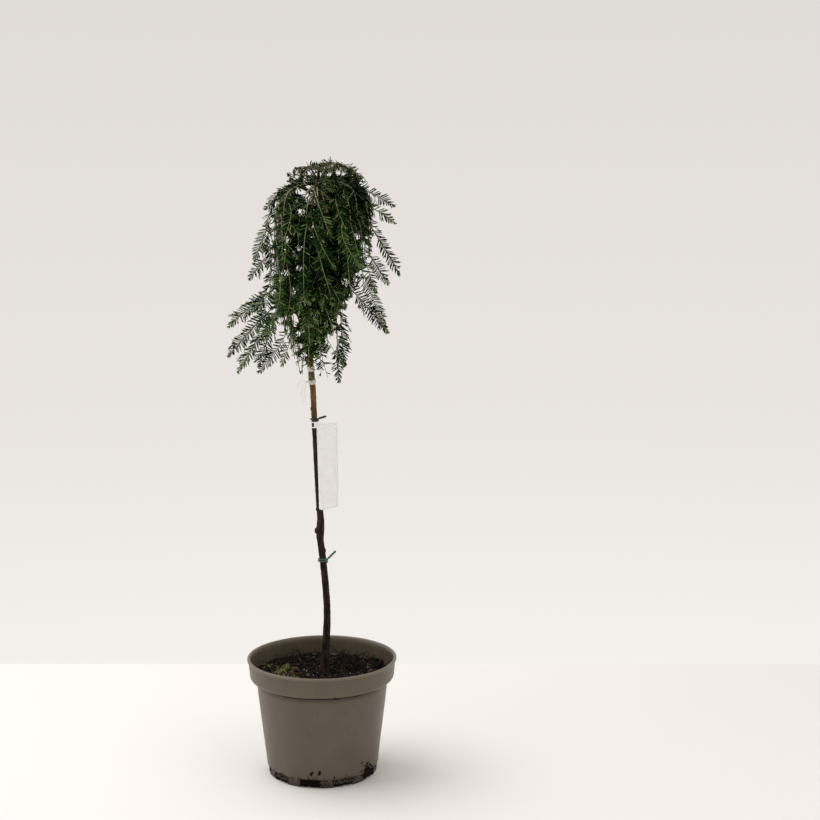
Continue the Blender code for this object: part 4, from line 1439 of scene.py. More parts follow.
@dataclass
class CrownRule:
    """The source's rule for the crown's form, and what its front shows."""

    wood: Woodwork
    crown_shift: float = 10 * MM
    tooth_pitch: float = 13.5 * MM
    least_pitches: int = 4
    half_width: float = 14 * MM
    top_half_width: float = 11 * MM
    long_half_width: float = 9.5 * MM
    shift_heights: tuple[float, float] = (700 * MM, 760 * MM)
    arch_tips: tuple[tuple[float, ...], ...] = (
        (19, 3, 911), (12, -45, 883), (10, 46, 883), (36, -35, 885), (34, 37, 885), (54, -14, 886),
        (51, 6, 888),
    )
    crest_tips: tuple[tuple[float, ...], ...] = (
        (-21, 4, 906), (-12, -40, 882), (-10, 41, 882), (-25, -28, 881), (-24, 29, 881), (-36, -3, 882),
    )
    top_between: int = 16
    outline: tuple[tuple[float, float], ...] = (
        (600, 26), (643, 36), (671, 52), (692, 68), (730, 75), (757, 77), (790, 79), (831, 80), (851, 76),
        (871, 66), (884, 54), (900, 38), (908, 20),
    )
    # The close-leaved part as the front shows it: height, left edge and right edge
    front: tuple[tuple[float, ...], ...] = (
        (600, -32, 14), (624, -42, 18), (642, -48, 26), (661, -54, 32), (678, -64, 34), (692, -80, 40),
        (714, -86, 54), (729, -82, 66), (750, -74, 72), (768, -71, 76), (786, -71, 80), (822, -67, 86),
        (840, -64, 86), (857, -57, 84), (875, -47, 76), (893, -38, 66), (905, -30, 58), (918, -12, 44),
    )
    needle_room: float = 5 * MM
    # Where the front shows sky through the crown: X, height and radius
    windows: tuple[tuple[float, ...], ...] = (
        (-11, 860, 12), (-19, 867, 7), (-3, 846, 7), (-24, 833, 6), (-28, 753, 6), (-40, 719, 7),
        (56, 799, 5), (63, 786, 5), (-28, 782, 5), (-46, 793, 6), (15, 649, 7), (38, 732, 6),
        (-48, 745, 6), (-36, 680, 7), (-8, 812, 4), (22, 640, 6),
    )
    # Gaps that the front shows: their grain, and how rare they are at the edge, at the heart and low down
    gap_grain: float = 6.5 * MM
    gap_levels: tuple[float, float, float] = (0.02, 0.44, 0.14)

    def crown_point(self, azimuth: float, radius: float, height: float) -> Vector:
        """A place on the crown, whose upper part leans to +X of the trunk."""
        reach = radius + self.lean_at(height) * math.cos(math.radians(azimuth))
        return POLE.centre(height) + direction(azimuth) * reach

    def lean_at(self, height: float) -> float:
        """How far the crown leans to +X at a height."""
        low, high = self.shift_heights
        return self.crown_shift * min(1, max(0, (height - low) / (high - low)))

    def seen(self, point: Vector) -> tuple[float, float]:
        """X and Z where the front view shows a point against the plane of the trunk."""
        spot = VIEWPOINT.lerp(point, VIEWPOINT.y / (VIEWPOINT.y - point.y))
        return spot.x, spot.z

    def shows_inside(self, point: Vector) -> bool:
        """Whether the front view shows a point inside the close-leaved part, with room for its needles."""
        x, z = self.seen(point)
        left, right = between(self.front, z)
        return left + self.needle_room < x < right - self.needle_room

    def heart(self, x: float, z: float) -> float:
        """How far inside its edges the front shows a place: 0 at an edge or outside, 1 in the heart."""
        left, right = between(self.front, z)
        return max(0.0, min(1.0, min(x - left, (right - x) * 2.0) / (40 * MM)))

    def in_window(self, point: Vector) -> bool:
        """Whether the front view shows a point where the sky comes through.

        Args:
            point: the point.

        Returns:
            Whether it is in a window or a small gap.
        """
        x, z = self.seen(point)
        if any(math.hypot(x - at_x * MM, z - at_z * MM) < size * MM for at_x, at_z, size in self.windows):
            return True
        heart = self.heart(x, z)
        if not heart:
            return False
        low = min(1.0, max(0.0, (720 * MM - z) / (60 * MM)))
        at_edge, at_heart, lower = self.gap_levels
        grain = noise.noise(Vector((x, 0, z)) / self.gap_grain)
        return grain > at_edge + at_heart * heart - lower * low

    def within(self, point: Vector) -> bool:
        """Whether a point is inside the crown's close-leaved part."""
        return self.depth(point) < 1 and self.shows_inside(point) and not self.in_window(point)

    def depth(self, point: Vector) -> float:
        """How far out a point lies, from 0 at the trunk to 1 at the crown's outside."""
        azimuth, radius = POLE.round(point)
        lean = self.lean_at(point.z) * math.cos(math.radians(azimuth))
        return (radius - lean) / between(self.outline, point.z)[0]

    def weeping_path(self, root: Vector, tip: Vector, rise: float, hang: float) -> list[Vector]:
        """A shoot that leaves its root outwards and comes down to its tip.

        Args:
            root: where it starts.
            tip: where it ends.
            rise: its slope at the root.
            hang: how far it has turned down at the tip, from 0 to 1.

        Returns:
            Its path.
        """
        straight = tip - root
        out = Vector((straight.x, straight.y, 0))
        if out.length < 1 * MM:
            out = direction(POLE.round(root)[0])
        leave = (out.normalized() + UP * rise).normalized()
        arrive = straight.normalized().lerp(-UP, hang).normalized()
        reach = straight.length * 0.35
        return bezier((root, root + leave * reach, tip - arrive * reach, tip), 14)

    def stem_from(self, limb: Limb) -> tuple[Vector, Vector]:
        """Root and heading of the main shoot that goes on from a bough."""
        heading = (limb.path[-1] - limb.path[-2]).normalized()
        return limb.path[-1] + heading * GAP, heading

    def top_mass(self, limb: Limb, side: int, tips: Table) -> list[Shoot]:
        """The main shoots of a top mass, its stem first.

        Args:
            limb: the wood that it goes on from.
            side: 1 where it points to +X, -1 where it points to -X.
            tips: the tips of its side shoots, and its stem's tip last.

        Returns:
            The shoots.
        """
        root, heading = self.stem_from(limb)
        end = Vector(tips[-1]) * MM
        stem = bezier((root, root + heading * 12 * MM, end + Vector((-12 * side, 0, 10)) * MM, end), 16)
        shoots = [Shoot(stem, UP.copy(), self.top_half_width, limb.radii[-1])]
        line = spaced(stem, self.tooth_pitch, self.least_pitches)
        for number, tip in enumerate(tips[:-1]):
            start, place = point_along(line, 0.08 + 0.15 * number), Vector(tip) * MM
            facing = UP * 0.7 + direction(POLE.round(place)[0])
            path = self.weeping_path(start, place, 1.6 if place.z > root.z else -0.15, 0.4)
            shoots.append(Shoot(path, facing, self.top_half_width, 1.0 * MM, Order.SIDE))
        rng = random.Random(60 + side)
        for number in range(self.top_between):
            start = point_along(stem, (number + rng.random()) / self.top_between)
            azimuth = rng.uniform(0, 360)
            place = start + direction(azimuth) * rng.uniform(14, 30) * MM
            place.z = min(start.z + rng.uniform(-20, 5) * MM, 904 * MM - 0.4 * POLE.round(place)[1])
            facing = UP * 0.5 + direction(azimuth + rng.uniform(-60, 60))
            path = self.weeping_path(start, place, rng.uniform(-0.1, 0.5), 0.5)
            shoots.append(Shoot(path, facing, self.top_half_width, 0.7 * MM, Order.SIDE))
        return shoots


@dataclass
class Mass:
    """One mass of a tier: its main stem from its bough, and the shoots that leave it.

    Its chance is called in the source's order.
    """

    rule: CrownRule
    tier: Tier
    index: int
    bough: Limb
    azimuth: float = field(init=False)
    half_angle: float = field(init=False)
    rng: random.Random = field(init=False)
    stem: list[Vector] = field(init=False)
    line: list[Vector] = field(init=False)

    def __post_init__(self) -> None:
        """Gives the mass its way, half its share of the round, its chance, and its stem."""
        self.azimuth = 360 / self.tier.count * (self.index + self.tier.turned)
        self.half_angle = 180 / self.tier.count
        self.rng = random.Random(self.tier.seed + self.index)
        self.stem = self.main_stem()
        self.line = spaced(self.stem, self.rule.tooth_pitch, self.rule.least_pitches)

    def main_stem(self) -> list[Vector]:
        """The main stem's path: over the dome's shoulder, or in one arc low down."""
        radius, height, least, most = self.tier.stem_tip
        level = (height + self.rng.uniform(least, most)) * MM
        tip = self.rule.crown_point(self.azimuth, radius * MM, level)
        root, heading = self.rule.stem_from(self.bough)
        if self.tier is LOWER:
            return bezier((root, root + heading * 16 * MM, tip.lerp(root, 0.35) + UP * 5 * MM, tip), 20)
        over = POLE.round(tip)[0]
        rise = self.rule.wood.bough_rise * math.cos(math.radians(over))
        inwards = (6 - 3 * math.cos(math.radians(over))) * MM
        shoulder = Vector((tip.x, tip.y, 852 * MM + rise)) - direction(over) * inwards
        return bezier((root, root + heading * 20 * MM, shoulder, tip), 24)

    def ruled(self) -> Iterator[Shoot]:
        """Side shoots by rule: each leaves the stem at its own place and hangs to its own tip."""
        rng = self.rng
        for root_share, share, radius, height in self.tier.tips:
            at = self.azimuth + self.half_angle * (share + rng.uniform(-0.08, 0.08))
            level = height * MM + self.tier.tilt * math.cos(math.radians(at)) + rng.uniform(-12, 12) * MM
            tip = self.rule.crown_point(at, (radius + rng.uniform(-4, 4)) * MM, level)
            root = point_along(self.line, root_share)
            facing = direction(at + rng.uniform(-55, 55)) + UP * 0.5
            path = self.rule.weeping_path(root, tip, rng.uniform(*self.tier.rises), 0.6)
            yield Shoot(path, facing, self.rule.half_width, 0.85 * MM, Order.SIDE)

    def reaching(self) -> Iterator[Shoot]:
        """The shoots that reach the crown's outline, turned to the front."""
        for root_share, x, y, z in (row[1:] for row in self.tier.reaching if row[0] == self.index):
            root, tip = point_along(self.line, root_share), Vector((x, y, z)) * MM
            straight = tip - root
            rise = straight.z / math.hypot(straight.x, straight.y) + 0.08
            facing = (TO_FRONT + direction(POLE.round(tip)[0]) * 0.25).normalized()
            path = self.rule.weeping_path(root, tip, rise, 0.15)
            yield Shoot(path, facing, self.rule.long_half_width, 1.05 * MM, Order.REACHING)

    def fronting(self) -> Iterator[Shoot]:
        """The shoots that cross the crown's front in nearly straight lines."""
        for root_share, *places in (row[1:] for row in self.tier.front if row[0] == self.index):
            root = point_along(self.stem, root_share)
            start, tip = Vector(places[:3]) * MM, Vector(places[3:]) * MM
            path = bezier((root, start + (start - root) * 0.15, start.lerp(tip, 0.5), tip), 20)
            facing = (TO_FRONT + direction(POLE.round(tip)[0]) * 0.35).normalized()
            yield Shoot(path, facing, self.rule.half_width, 0.75 * MM, Order.FRONT)

    def further(self) -> Iterator[Shoot]:
        """More shoots by the same rule, whose tips hang within the crown's outline."""
        rng, outline = self.rng, self.tier.outline
        for number in range(self.tier.further):
            at = self.azimuth + self.half_angle * rng.uniform(-2.4, 2.4)
            share = (number + rng.random()) / self.tier.further
            height = outline[0][0] + (outline[-1][0] - outline[0][0]) * share
            reach = between(outline, height * MM)[0] * rng.uniform(0.7, 1.0)
            level = height * MM + self.tier.tilt * math.cos(math.radians(at))
            tip = self.rule.crown_point(at, reach, level)
            root = point_along(self.stem, 0.62 * (1 - share) * rng.random() + 0.04)
            facing = direction(at + rng.uniform(-35, 35)) + UP * 0.4
            slope = (tip.z - root.z) / max(8 * MM, math.hypot(tip.x - root.x, tip.y - root.y))
            rise = max(slope, -3.0) + rng.uniform(0.2, 0.9)
            path = self.rule.weeping_path(root, tip, rise, rng.uniform(0.1, 0.5))
            yield Shoot(path, facing, self.rule.half_width, 0.75 * MM, Order.SIDE)

    def on_bough(self) -> Iterator[Shoot]:
        """Short shoots along the bough, which close the crown's top between the boughs."""
        rng = self.rng
        for number in range(self.tier.on_bough):
            root = point_along(self.bough.path, 0.3 + 0.7 * (number + rng.random()) / self.tier.on_bough)
            at = self.azimuth + rng.choice((-1, 1)) * rng.uniform(15, 80)
            tip = root + direction(at) * rng.uniform(18, 34) * MM
            tip.z = min(root.z + rng.uniform(-8, 20) * MM, 899 * MM - 0.3 * POLE.round(tip)[1])
            facing = UP * 0.6 + direction(at + rng.uniform(-50, 50))
            path = self.rule.weeping_path(root, tip, rng.uniform(0.1, 0.7), 0.5)
            yield Shoot(path, facing, self.rule.top_half_width, 0.7 * MM, Order.SIDE)

    def grown(self) -> list[Shoot]:
        """All its main shoots, the stem first."""
        stem = Shoot(self.stem, direction(self.azimuth) + UP, self.rule.half_width, 1.8 * MM)
        return [stem, *self.ruled(), *self.reaching(), *self.fronting(), *self.further(), *self.on_bough()]


@dataclass
class Foliage:
    """Carries one mass's main shoots on to finer twigs, needles and buds, and joins each kind."""

    name: str
    shoots: list[Shoot]
    rng: random.Random
    rule: CrownRule
    bare_beyond: float = 78 * MM
    loose_beyond: float = 84 * MM
    bare_below: float = 608 * MM
    side_pitch: float = 12 * MM
    longest_inside: float = 46 * MM
    longest_outside: float = 22 * MM
    needle_pitch: float = 2.6 * MM
    needle_length: float = 13 * MM
    needle_width: float = 1.5 * MM
    pressed_every: int = 5
    tip_room: float = 6 * MM
    trunk_clear: float = 2.5 * MM
    roll: float = 0.3
    # How many sprays the sun has bronzed, over each height in millimetres
    bronzed: Table = ((884, 0.85), (858, 0.25), (0, 0.06))
    # A needle's outline: along it in shares of its length, across and above it in shares of its width,
    # and the share of its bend that each point takes
    needle_shape: Table = (
        (0.0, -0.34, 0.0, 0), (0.0, 0.34, 0.0, 0), (0.0, 0.0, 0.16, 0), (0.74, -0.5, 0.0, 0.45),
        (0.74, 0.5, 0.0, 0.45), (0.74, 0.0, 0.3, 0.45), (1.0, 0.0, 0.08, 1.0),
    )
    needle_faces: Table = (
        (0, 2, 1), (0, 1, 4), (0, 4, 3), (1, 2, 5), (1, 5, 4), (2, 0, 3), (2, 3, 5), (3, 4, 6), (4, 5, 6),
        (5, 3, 6),
    )
    # The faces that show a needle's underside
    under_faces: tuple[int, ...] = (1, 2, 7)
    twigs: list[tuple[list[Vector], np.ndarray, int]] = field(default_factory=list)
    needles: list[tuple[float, ...]] = field(default_factory=list)

    def trimmed(self, shoot: Shoot) -> Shoot:
        """A main shoot cut back so that its last needles end at the rule's tip, or at the crown's edge.

        Args:
            shoot: the whole shoot.

        Returns:
            The shoot that is drawn.
        """
        line = spaced(shoot.path, 2 * MM)
        keep = max(4, len(line) - round(self.tip_room / (2 * MM)))
        if shoot.order < Order.REACHING:
            from_third = range(len(line) // 3, keep)
            keep = max(4, next((i for i in from_third if not self.rule.shows_inside(line[i])), keep))
        return Shoot(line[:keep], shoot.facing, shoot.reach, shoot.radius, shoot.order)

    def finer(self, shoot: Shoot) -> list[Shoot]:
        """Weeping side twigs of a shoot, left and right in turn, each shorter towards the tip.

        Args:
            shoot: the shoot that bears them.

        Returns:
            The side twigs.
        """
        if shoot.order in (Order.REACHING, Order.FRONT) and shoot.path[-1].z < self.bare_below:
            return []
        rng, line = self.rng, spaced(shoot.path, 2 * MM)
        total = length_of(line)
        found, place, side = [], 12 * MM, rng.choice((-1, 1))
        while place < total - 18 * MM:
            index = min(len(line) - 2, int(place / total * (len(line) - 1)))
            root = line[index]
            ahead = (line[index + 1] - root).normalized()
            across = ahead.cross(shoot.facing).normalized()
            azimuth, reach = POLE.round(root)
            outside = shoot.order == Order.REACHING and reach > (72 if root.z > 690 * MM else 40) * MM
            if outside and reach > self.bare_beyond:
                break
            longest = self.longest_outside if outside else self.longest_inside
            own = min(longest, 0.5 * (total - place) + 8 * MM) * rng.uniform(0.6, 1.15)
            angle = math.radians(rng.uniform(30, 52) if outside else rng.uniform(38, 72))
            leave = ahead * math.cos(angle) + across * side * math.sin(angle)
            leave = (leave + direction(azimuth + rng.uniform(-60, 60)) * rng.uniform(0, 0.3)).normalized()
            hang = leave.lerp(-UP, 0.35 if outside else rng.uniform(0.1, 0.35)).normalized()
            tip = root + leave * own * 0.5 + hang * own * 0.5
            path = bezier((root, root + leave * own * 0.36, tip - hang * own * 0.36, tip), 7)
            clear = all(POLE.round(p)[1] > POLE.radius(p.z) + self.trunk_clear for p in path[2:])
            if clear and (outside or self.rule.within(path[-1]) and not self.rule.in_window(path[4])):
                facing = (direction(azimuth + rng.uniform(-35, 35)) + UP * rng.uniform(0.1, 0.6)).normalized()
                found.append(Shoot(path, facing, shoot.reach, 0.6 * MM, Order.TWIG))
            side = -side
            place += self.side_pitch * rng.uniform(0.7, 1.35)
        return found

    def is_loose(self, shoot: Shoot) -> bool:
        """Whether a shoot hangs outside the close-leaved part."""
        return shoot.order == Order.REACHING or POLE.round(shoot.path[-1])[1] > self.loose_beyond

    def shade_of(self, shoot: Shoot) -> int:
        """The shade of a whole spray: painted shade inside the crown and in its heart, painted light on its
        outside and low down.

        Args:
            shoot: the shoot that bears the spray.

        Returns:
            The shade's number.
        """
        rng = self.rng
        if self.is_loose(shoot):
            return rng.choice((OLD, MATURE, MATURE, FRESH))
        if shoot.order == Order.FRONT:
            return rng.choice((OLD, OLD, MATURE, FRESH))
        place = shoot.path[len(shoot.path) * 2 // 3]
        if rng.random() < next(chance for level, chance in self.bronzed if place.z > level * MM):
            return BRONZE
        # Painted light and shade: sprays get lighter low down and towards the outside, and darker towards the
        # crown's inside and, above the waist, towards the heart of the dome as the front shows it
        low = min(1.0, max(0.0, (750 * MM - place.z) / (60 * MM)))
        heart_shade = 0.9 * (1 - low) * self.rule.heart(*self.rule.seen(place))
        shade = 6.6 * self.rule.depth(place) - 4.2 + 2.8 * low - heart_shade + rng.gauss(0, 0.8)
        return min(FRESH, max(INNER, round(shade)))

    def own_shade(self, shade: int, left: float) -> int:
        """One needle's shade: most are as their spray, some darker or fresher, and tips the freshest."""
        if shade == BRONZE:
            return self.rng.choice((BRONZE, BRONZE, MATURE, FRESH, OLD))
        step = self.rng.choices((-1, 0, 1, 2), (0.26, 0.5, 0.17, 0.07))[0]
        return min(TIP, max(INNER, shade + step + (left < 5 * MM and shade > INNER)))

    def leaf_out(self, shoot: Shoot) -> None:
        """Sets needles along a shoot: two flat ranks, and small ones pressed along its top.

        Args:
            shoot: the shoot to clothe.
        """
        rng, loose = self.rng, self.is_loose(shoot)
        pitch = self.needle_pitch * (0.9 if loose else 1.0)
        line = spaced(shoot.path, pitch / 2, 4)
        shade = self.shade_of(shoot)
        count = len(line) - 1
        spread = rng.uniform(54, 68)
        longest = self.needle_length * (1.0 if loose else 0.62 + 0.38 * shoot.reach / (14 * MM))
        for index in range(3, count + 1):
            place = line[index]
            ahead = (line[min(index + 1, count)] - line[index - 1]).normalized()
            across = ahead.cross(shoot.facing).normalized()
            over = across.cross(ahead)
            left = (count - index) * pitch / 2
            full = longest * min(1.0, 0.42 + left / (38 * MM))
            shade_here = self.own_shade(shade, left)
            side = 1 if index % 2 else -1
            angle = math.radians(rng.gauss(spread, 8) - 30 * max(0.0, 1 - left / (26 * MM)))
            roll = rng.gauss(-0.1, 0.18) if shoot.order == Order.FRONT else rng.gauss(0.06, self.roll)
            out = across * side * math.cos(roll) + over * math.sin(roll)
            way = ahead * math.cos(angle) + out * math.sin(angle)
            length = full * rng.uniform(0.74, 1.12)
            if any(self.rule.in_window(place + way * length * part) for part in (0.4, 0.85)):
                continue
            self.set_needle(place, way, over, length, shade_here)
            if index % self.pressed_every == 0 and shoot.order != Order.FRONT:
                way = ahead + across * rng.uniform(-0.5, 0.5) + over * rng.uniform(0.35, 0.8)
                self.set_needle(place, way, over, full * rng.uniform(0.4, 0.65), shade_here)
            if left < 2 * MM:
                self.set_needle(place, ahead + across * side * 0.2, over, full, shade_here)

    def set_needle(self, place: Vector, way: Vector, over: Vector, length: float, shade: int) -> None:
        """Notes one needle.

        Args:
            place: where it leaves its twig.
            way: where it points.
            over: the way its upper side faces, near enough.
            length: its length.
            shade: its shade's number.
        """
        way.normalize()
        across = over.cross(way)
        if across.length < 1e-4:
            return
        across.normalize()
        width = self.needle_width * self.rng.uniform(0.9, 1.2) * min(1.0, 0.55 + length / (18 * MM))
        self.needles.append((*place, *way, *across, length, width, self.rng.uniform(-0.02, 0.14), shade))

    def needle_mesh(self) -> Piece:
        """Joins the needles: each narrow at its stalk, widest near its blunt tip, ridged above.

        Returns:
            The needles as one object.
        """
        rows, shape, faces = np.array(self.needles), np.array(self.needle_shape), np.array(self.needle_faces)
        place, way, across = (rows[:, None, first:first + 3] for first in (0, 3, 6))
        length, width, bend = (rows[:, column, None] for column in (9, 10, 11))
        lift = width * shape[:, 2] - length * bend * shape[:, 3]
        points = (place + way * (length * shape[:, 0])[..., None] + across * (width * shape[:, 1])[..., None]
                  + np.cross(way, across) * lift[..., None])
        triangles = faces[None] + (np.arange(len(rows)) * len(shape))[:, None, None]
        shades = np.repeat(rows[:, 12].astype(int), len(faces)).reshape(len(rows), -1)
        shades[:, self.under_faces] = UNDERSIDE
        return mesh_object("needles_" + self.name, points.reshape(-1, 3), triangles.reshape(-1, 3),
                           NEEDLES, shades.ravel(), False)

    def twig_mesh(self) -> Piece:
        """Joins the twigs.

        Returns:
            The twigs as one object.
        """
        lofts = [loft(path, radii, 6 if radii[0] > 0.8 * MM else 4) for path, radii, _ in self.twigs]
        shades = [np.full(len(faces), shade) for (_, faces), (*_, shade) in zip(lofts, self.twigs)]
        return mesh_object("twigs_" + self.name, *joined(lofts), TWIGS, np.concatenate(shades))

    def build(self, buds: Swarm) -> int:
        """Grows, joins and mounts the mass.

        Args:
            buds: the plant's buds, to which this mass adds its own.

        Returns:
            How many needles it has.
        """
        grown = [self.trimmed(shoot) for shoot in self.shoots]
        for shoot in list(grown):
            grown += self.finer(shoot)
        for shoot in grown:
            self.leaf_out(shoot)
            step, end = (5 * MM, 0.45 * MM) if shoot.order < Order.TWIG else (7 * MM, 0.3 * MM)
            path = spaced(shoot.path, step)
            radii = np.linspace(shoot.radius, end, len(path))
            self.twigs.append((path, radii, 0 if shoot.order == Order.STEM else 1))
            heading = (path[-1] - path[-2]).normalized()
            turn = heading.to_track_quat("Z", "Y").to_matrix()
            buds.add(path[-1], turn @ Matrix.Diagonal((0.55 * MM, 0.55 * MM, 1.0 * MM)))
        mounted(self.needle_mesh(), "needles", "foliage_" + self.name)
        mounted(self.twig_mesh(), "needles")
        return len(self.needles)


@dataclass
class Crown:
    """All the foliage masses, and the buds at the tips of their shoots."""

    wood: Woodwork
    seed: int = 200
    lower_bare_beyond: float = 112 * MM

    def build(self) -> None:
        """Builds and mounts every mass."""
        rule = CrownRule(self.wood)
        masses = []
        for tier, bough in ((OUTER, self.wood.outer_bough), (LOWER, self.wood.lower_bough)):
            masses += [(f"{tier.name}_{i + 1}", Mass(rule, tier, i, bough(i)).grown())
                       for i in range(tier.count)]
        masses.append(("arch", rule.top_mass(self.wood.leader(), 1, rule.arch_tips)))
        masses.append(("crest", rule.top_mass(self.wood.crest_bough(), -1, rule.crest_tips)))
        buds, total = Swarm.of(round_grain()), 0
        for number, (name, shoots) in enumerate(masses):
            mass = Foliage(name, shoots, random.Random(self.seed + number), rule)
            if name.startswith(LOWER.name):
                mass.bare_beyond = self.lower_bare_beyond
            total += mass.build(buds)
        mounted(buds.built("buds", [BUD], True), "needles")
        log.info("needles in all: %d", total)


# Label, tape and ties

@dataclass
class PlantLabel:
    """A blank slip of label film on a strap that is looped round the trunk."""

    size: tuple[float, float, float] = (32 * MM, 0.8 * MM, 128 * MM)
    centre: tuple[float, float, float] = (10.2 * MM, 6.9 * MM, 462.6 * MM)
    lean: float = 1.6
    turn: float = 34.0
    twist: float = 5.0
    strap_height: float = 525 * MM
    strap_width: float = 9 * MM
    strap_thickness: float = 1.1 * MM
    # How far the slip bows: at its ends, and back at its middle, in millimetres
    bow: tuple[float, float] = (0.9, 0.6)
    corner: float = 2.5 * MM
    bands: int = 18
    strap_slit: tuple[float, float] = (150, 262)

    def slip(self) -> Piece:
        """The slip: round-cornered, and bowed a little along its length.

        Returns:
            Its object.
        """
        bpy.ops.mesh.primitive_cube_add(size=1)
        slip = bpy.context.object
        slip.name = "label_slip"
        slip.scale = self.size
        bpy.ops.object.transform_apply(scale=True)
        for edge in slip.data.edges:
            a, b = (slip.data.vertices[i].co for i in edge.vertices)
            edge.select = abs(a.y - b.y) > 0.5 * MM
        with editing(slip, whole=False):
            bpy.ops.mesh.bevel(offset=self.corner, segments=5, affect="EDGES")
        slice_up(slip, self.size[2], self.bands)
        rows = points_of(slip)
        share = rows[:, 2] / self.size[2]
        rows[:, 1] += (self.bow[0] * (share * 2) ** 2 - self.bow[1]) * MM * 0.8
        edge = rows[:, 0] + self.size[0] / 2
        angle = np.radians(self.turn - self.twist * share * 2)
        x = edge * np.cos(angle) - rows[:, 1] * np.sin(angle)
        y = edge * np.sin(angle) + rows[:, 1] * np.cos(angle)
        turn = math.radians(self.turn)
        rows[:, 0] = x - self.size[0] / 2 * math.cos(turn)
        rows[:, 1] = y - self.size[0] / 2 * math.sin(turn)
        move_points(slip, rows)
        slip.rotation_euler = (0, -math.radians(self.lean), 0)
        slip.location = self.centre
        settle(slip)
        return dressed(slip, LABEL_FILM, 30)

    def build(self) -> None:
        """Builds and mounts the label and its strap, which has a long slit."""
        mounted(self.slip(), "white_plastic", "plant_label")
        strap = band("label_strap", self.strap_height, self.strap_width, self.strap_thickness, LABEL_FILM,
                     self.strap_slit)
        mounted(strap, "white_plastic")


def band(name: str, height: float, width: float, thickness: float, finish: Finish,
         slit: tuple[float, float] | None = None, crease: float = 0.0) -> Piece:
    """A snug band round the trunk, following its taper and lean.

    Args:
        name: the object's name.
        height: the height of its middle.
        width: its width, up and down.
        thickness: the thickness of its film.
        finish: its material.
        slit: first and last azimuth of an opening along its middle.
        crease: how far its creases stand out.

    Returns:
        The band's object.
    """
    sides, bands = 64, 6
    bpy.ops.mesh.primitive_cylinder_add(vertices=sides, radius=1, depth=width, end_fill_type="NOTHING")
    obj = bpy.context.object
    obj.name = name
    slice_up(obj, width, bands)
    if slit:
        for face in obj.data.polygons:
            azimuth = math.degrees(math.atan2(face.center.y, face.center.x)) % 360
            face.select = slit[0] < azimuth < slit[1] and abs(face.center.z) < width * 0.26
        with editing(obj, "FACE", whole=False):
            bpy.ops.mesh.delete(type="FACE")
    rows = points_of(obj)
    for row in rows:
        level = height + row[2]
        turn = math.atan2(row[1], row[0])
        fold = noise.noise(Vector((turn * 2.2, row[2] * 900, height * 90))) * crease
        radius = POLE.radius(level) + GAP + thickness * 0.5 + abs(fold)
        centre = POLE.centre(level)
        row[:] = (centre.x + radius * math.cos(turn), centre.y + radius * math.sin(turn), level + fold * 0.5)
    move_points(obj, rows)
    apply_modifier(obj, "SOLIDIFY", {"thickness": thickness, "offset": 0.0})
    settle(obj)
    return dressed(obj, finish, 50)


@dataclass
class GraftTape:
    """Stretched film wound round the graft, twice at each place, with a loose end."""

    heights: tuple[float, float] = (588 * MM, 607 * MM)
    width: float = 7 * MM
    thickness: float = 0.8 * MM

    def build(self) -> None:
        """Builds and mounts the two wraps."""
        for number, height in enumerate(self.heights, 1):
            under = band(f"graft_film_{number}", height, self.width, self.thickness * 0.6, GRAFT_FILM,
                         None, 0.35 * MM)
            mounted(under, "white_plastic", f"graft_tape_{number}")
            over = band(f"graft_film_end_{number}", height + 0.9 * MM, self.width * 0.6, self.thickness * 1.2,
                        GRAFT_FILM, None, 0.5 * MM)
            mounted(over, "white_plastic")
        mounted(self.threads(), "white_plastic")

    def threads(self) -> Piece:
        """Torn threads of film that hang from the lower wrap, on the left.

        Returns:
            Their object.
        """
        lofts, low = [], self.heights[0]
        start = POLE.centre(low) + direction(185) * (POLE.radius(low) + 0.9 * MM)
        for over, down, near in ((-11, -24, 4), (-16, -9, -2), (-7, -31, 1)):
            end = start + Vector((over, near, down)) * MM
            swing = start + Vector((over * 1.1, -near, 3)) * MM
            path = spaced(bezier((start, start.lerp(swing, 0.6), end + UP * 12 * MM, end), 12), 1.5 * MM)
            lofts.append(loft(path, np.linspace(0.35 * MM, 0.2 * MM, len(path)), 4))
        return mesh_object("graft_film_threads", *joined(lofts), [GRAFT_FILM])


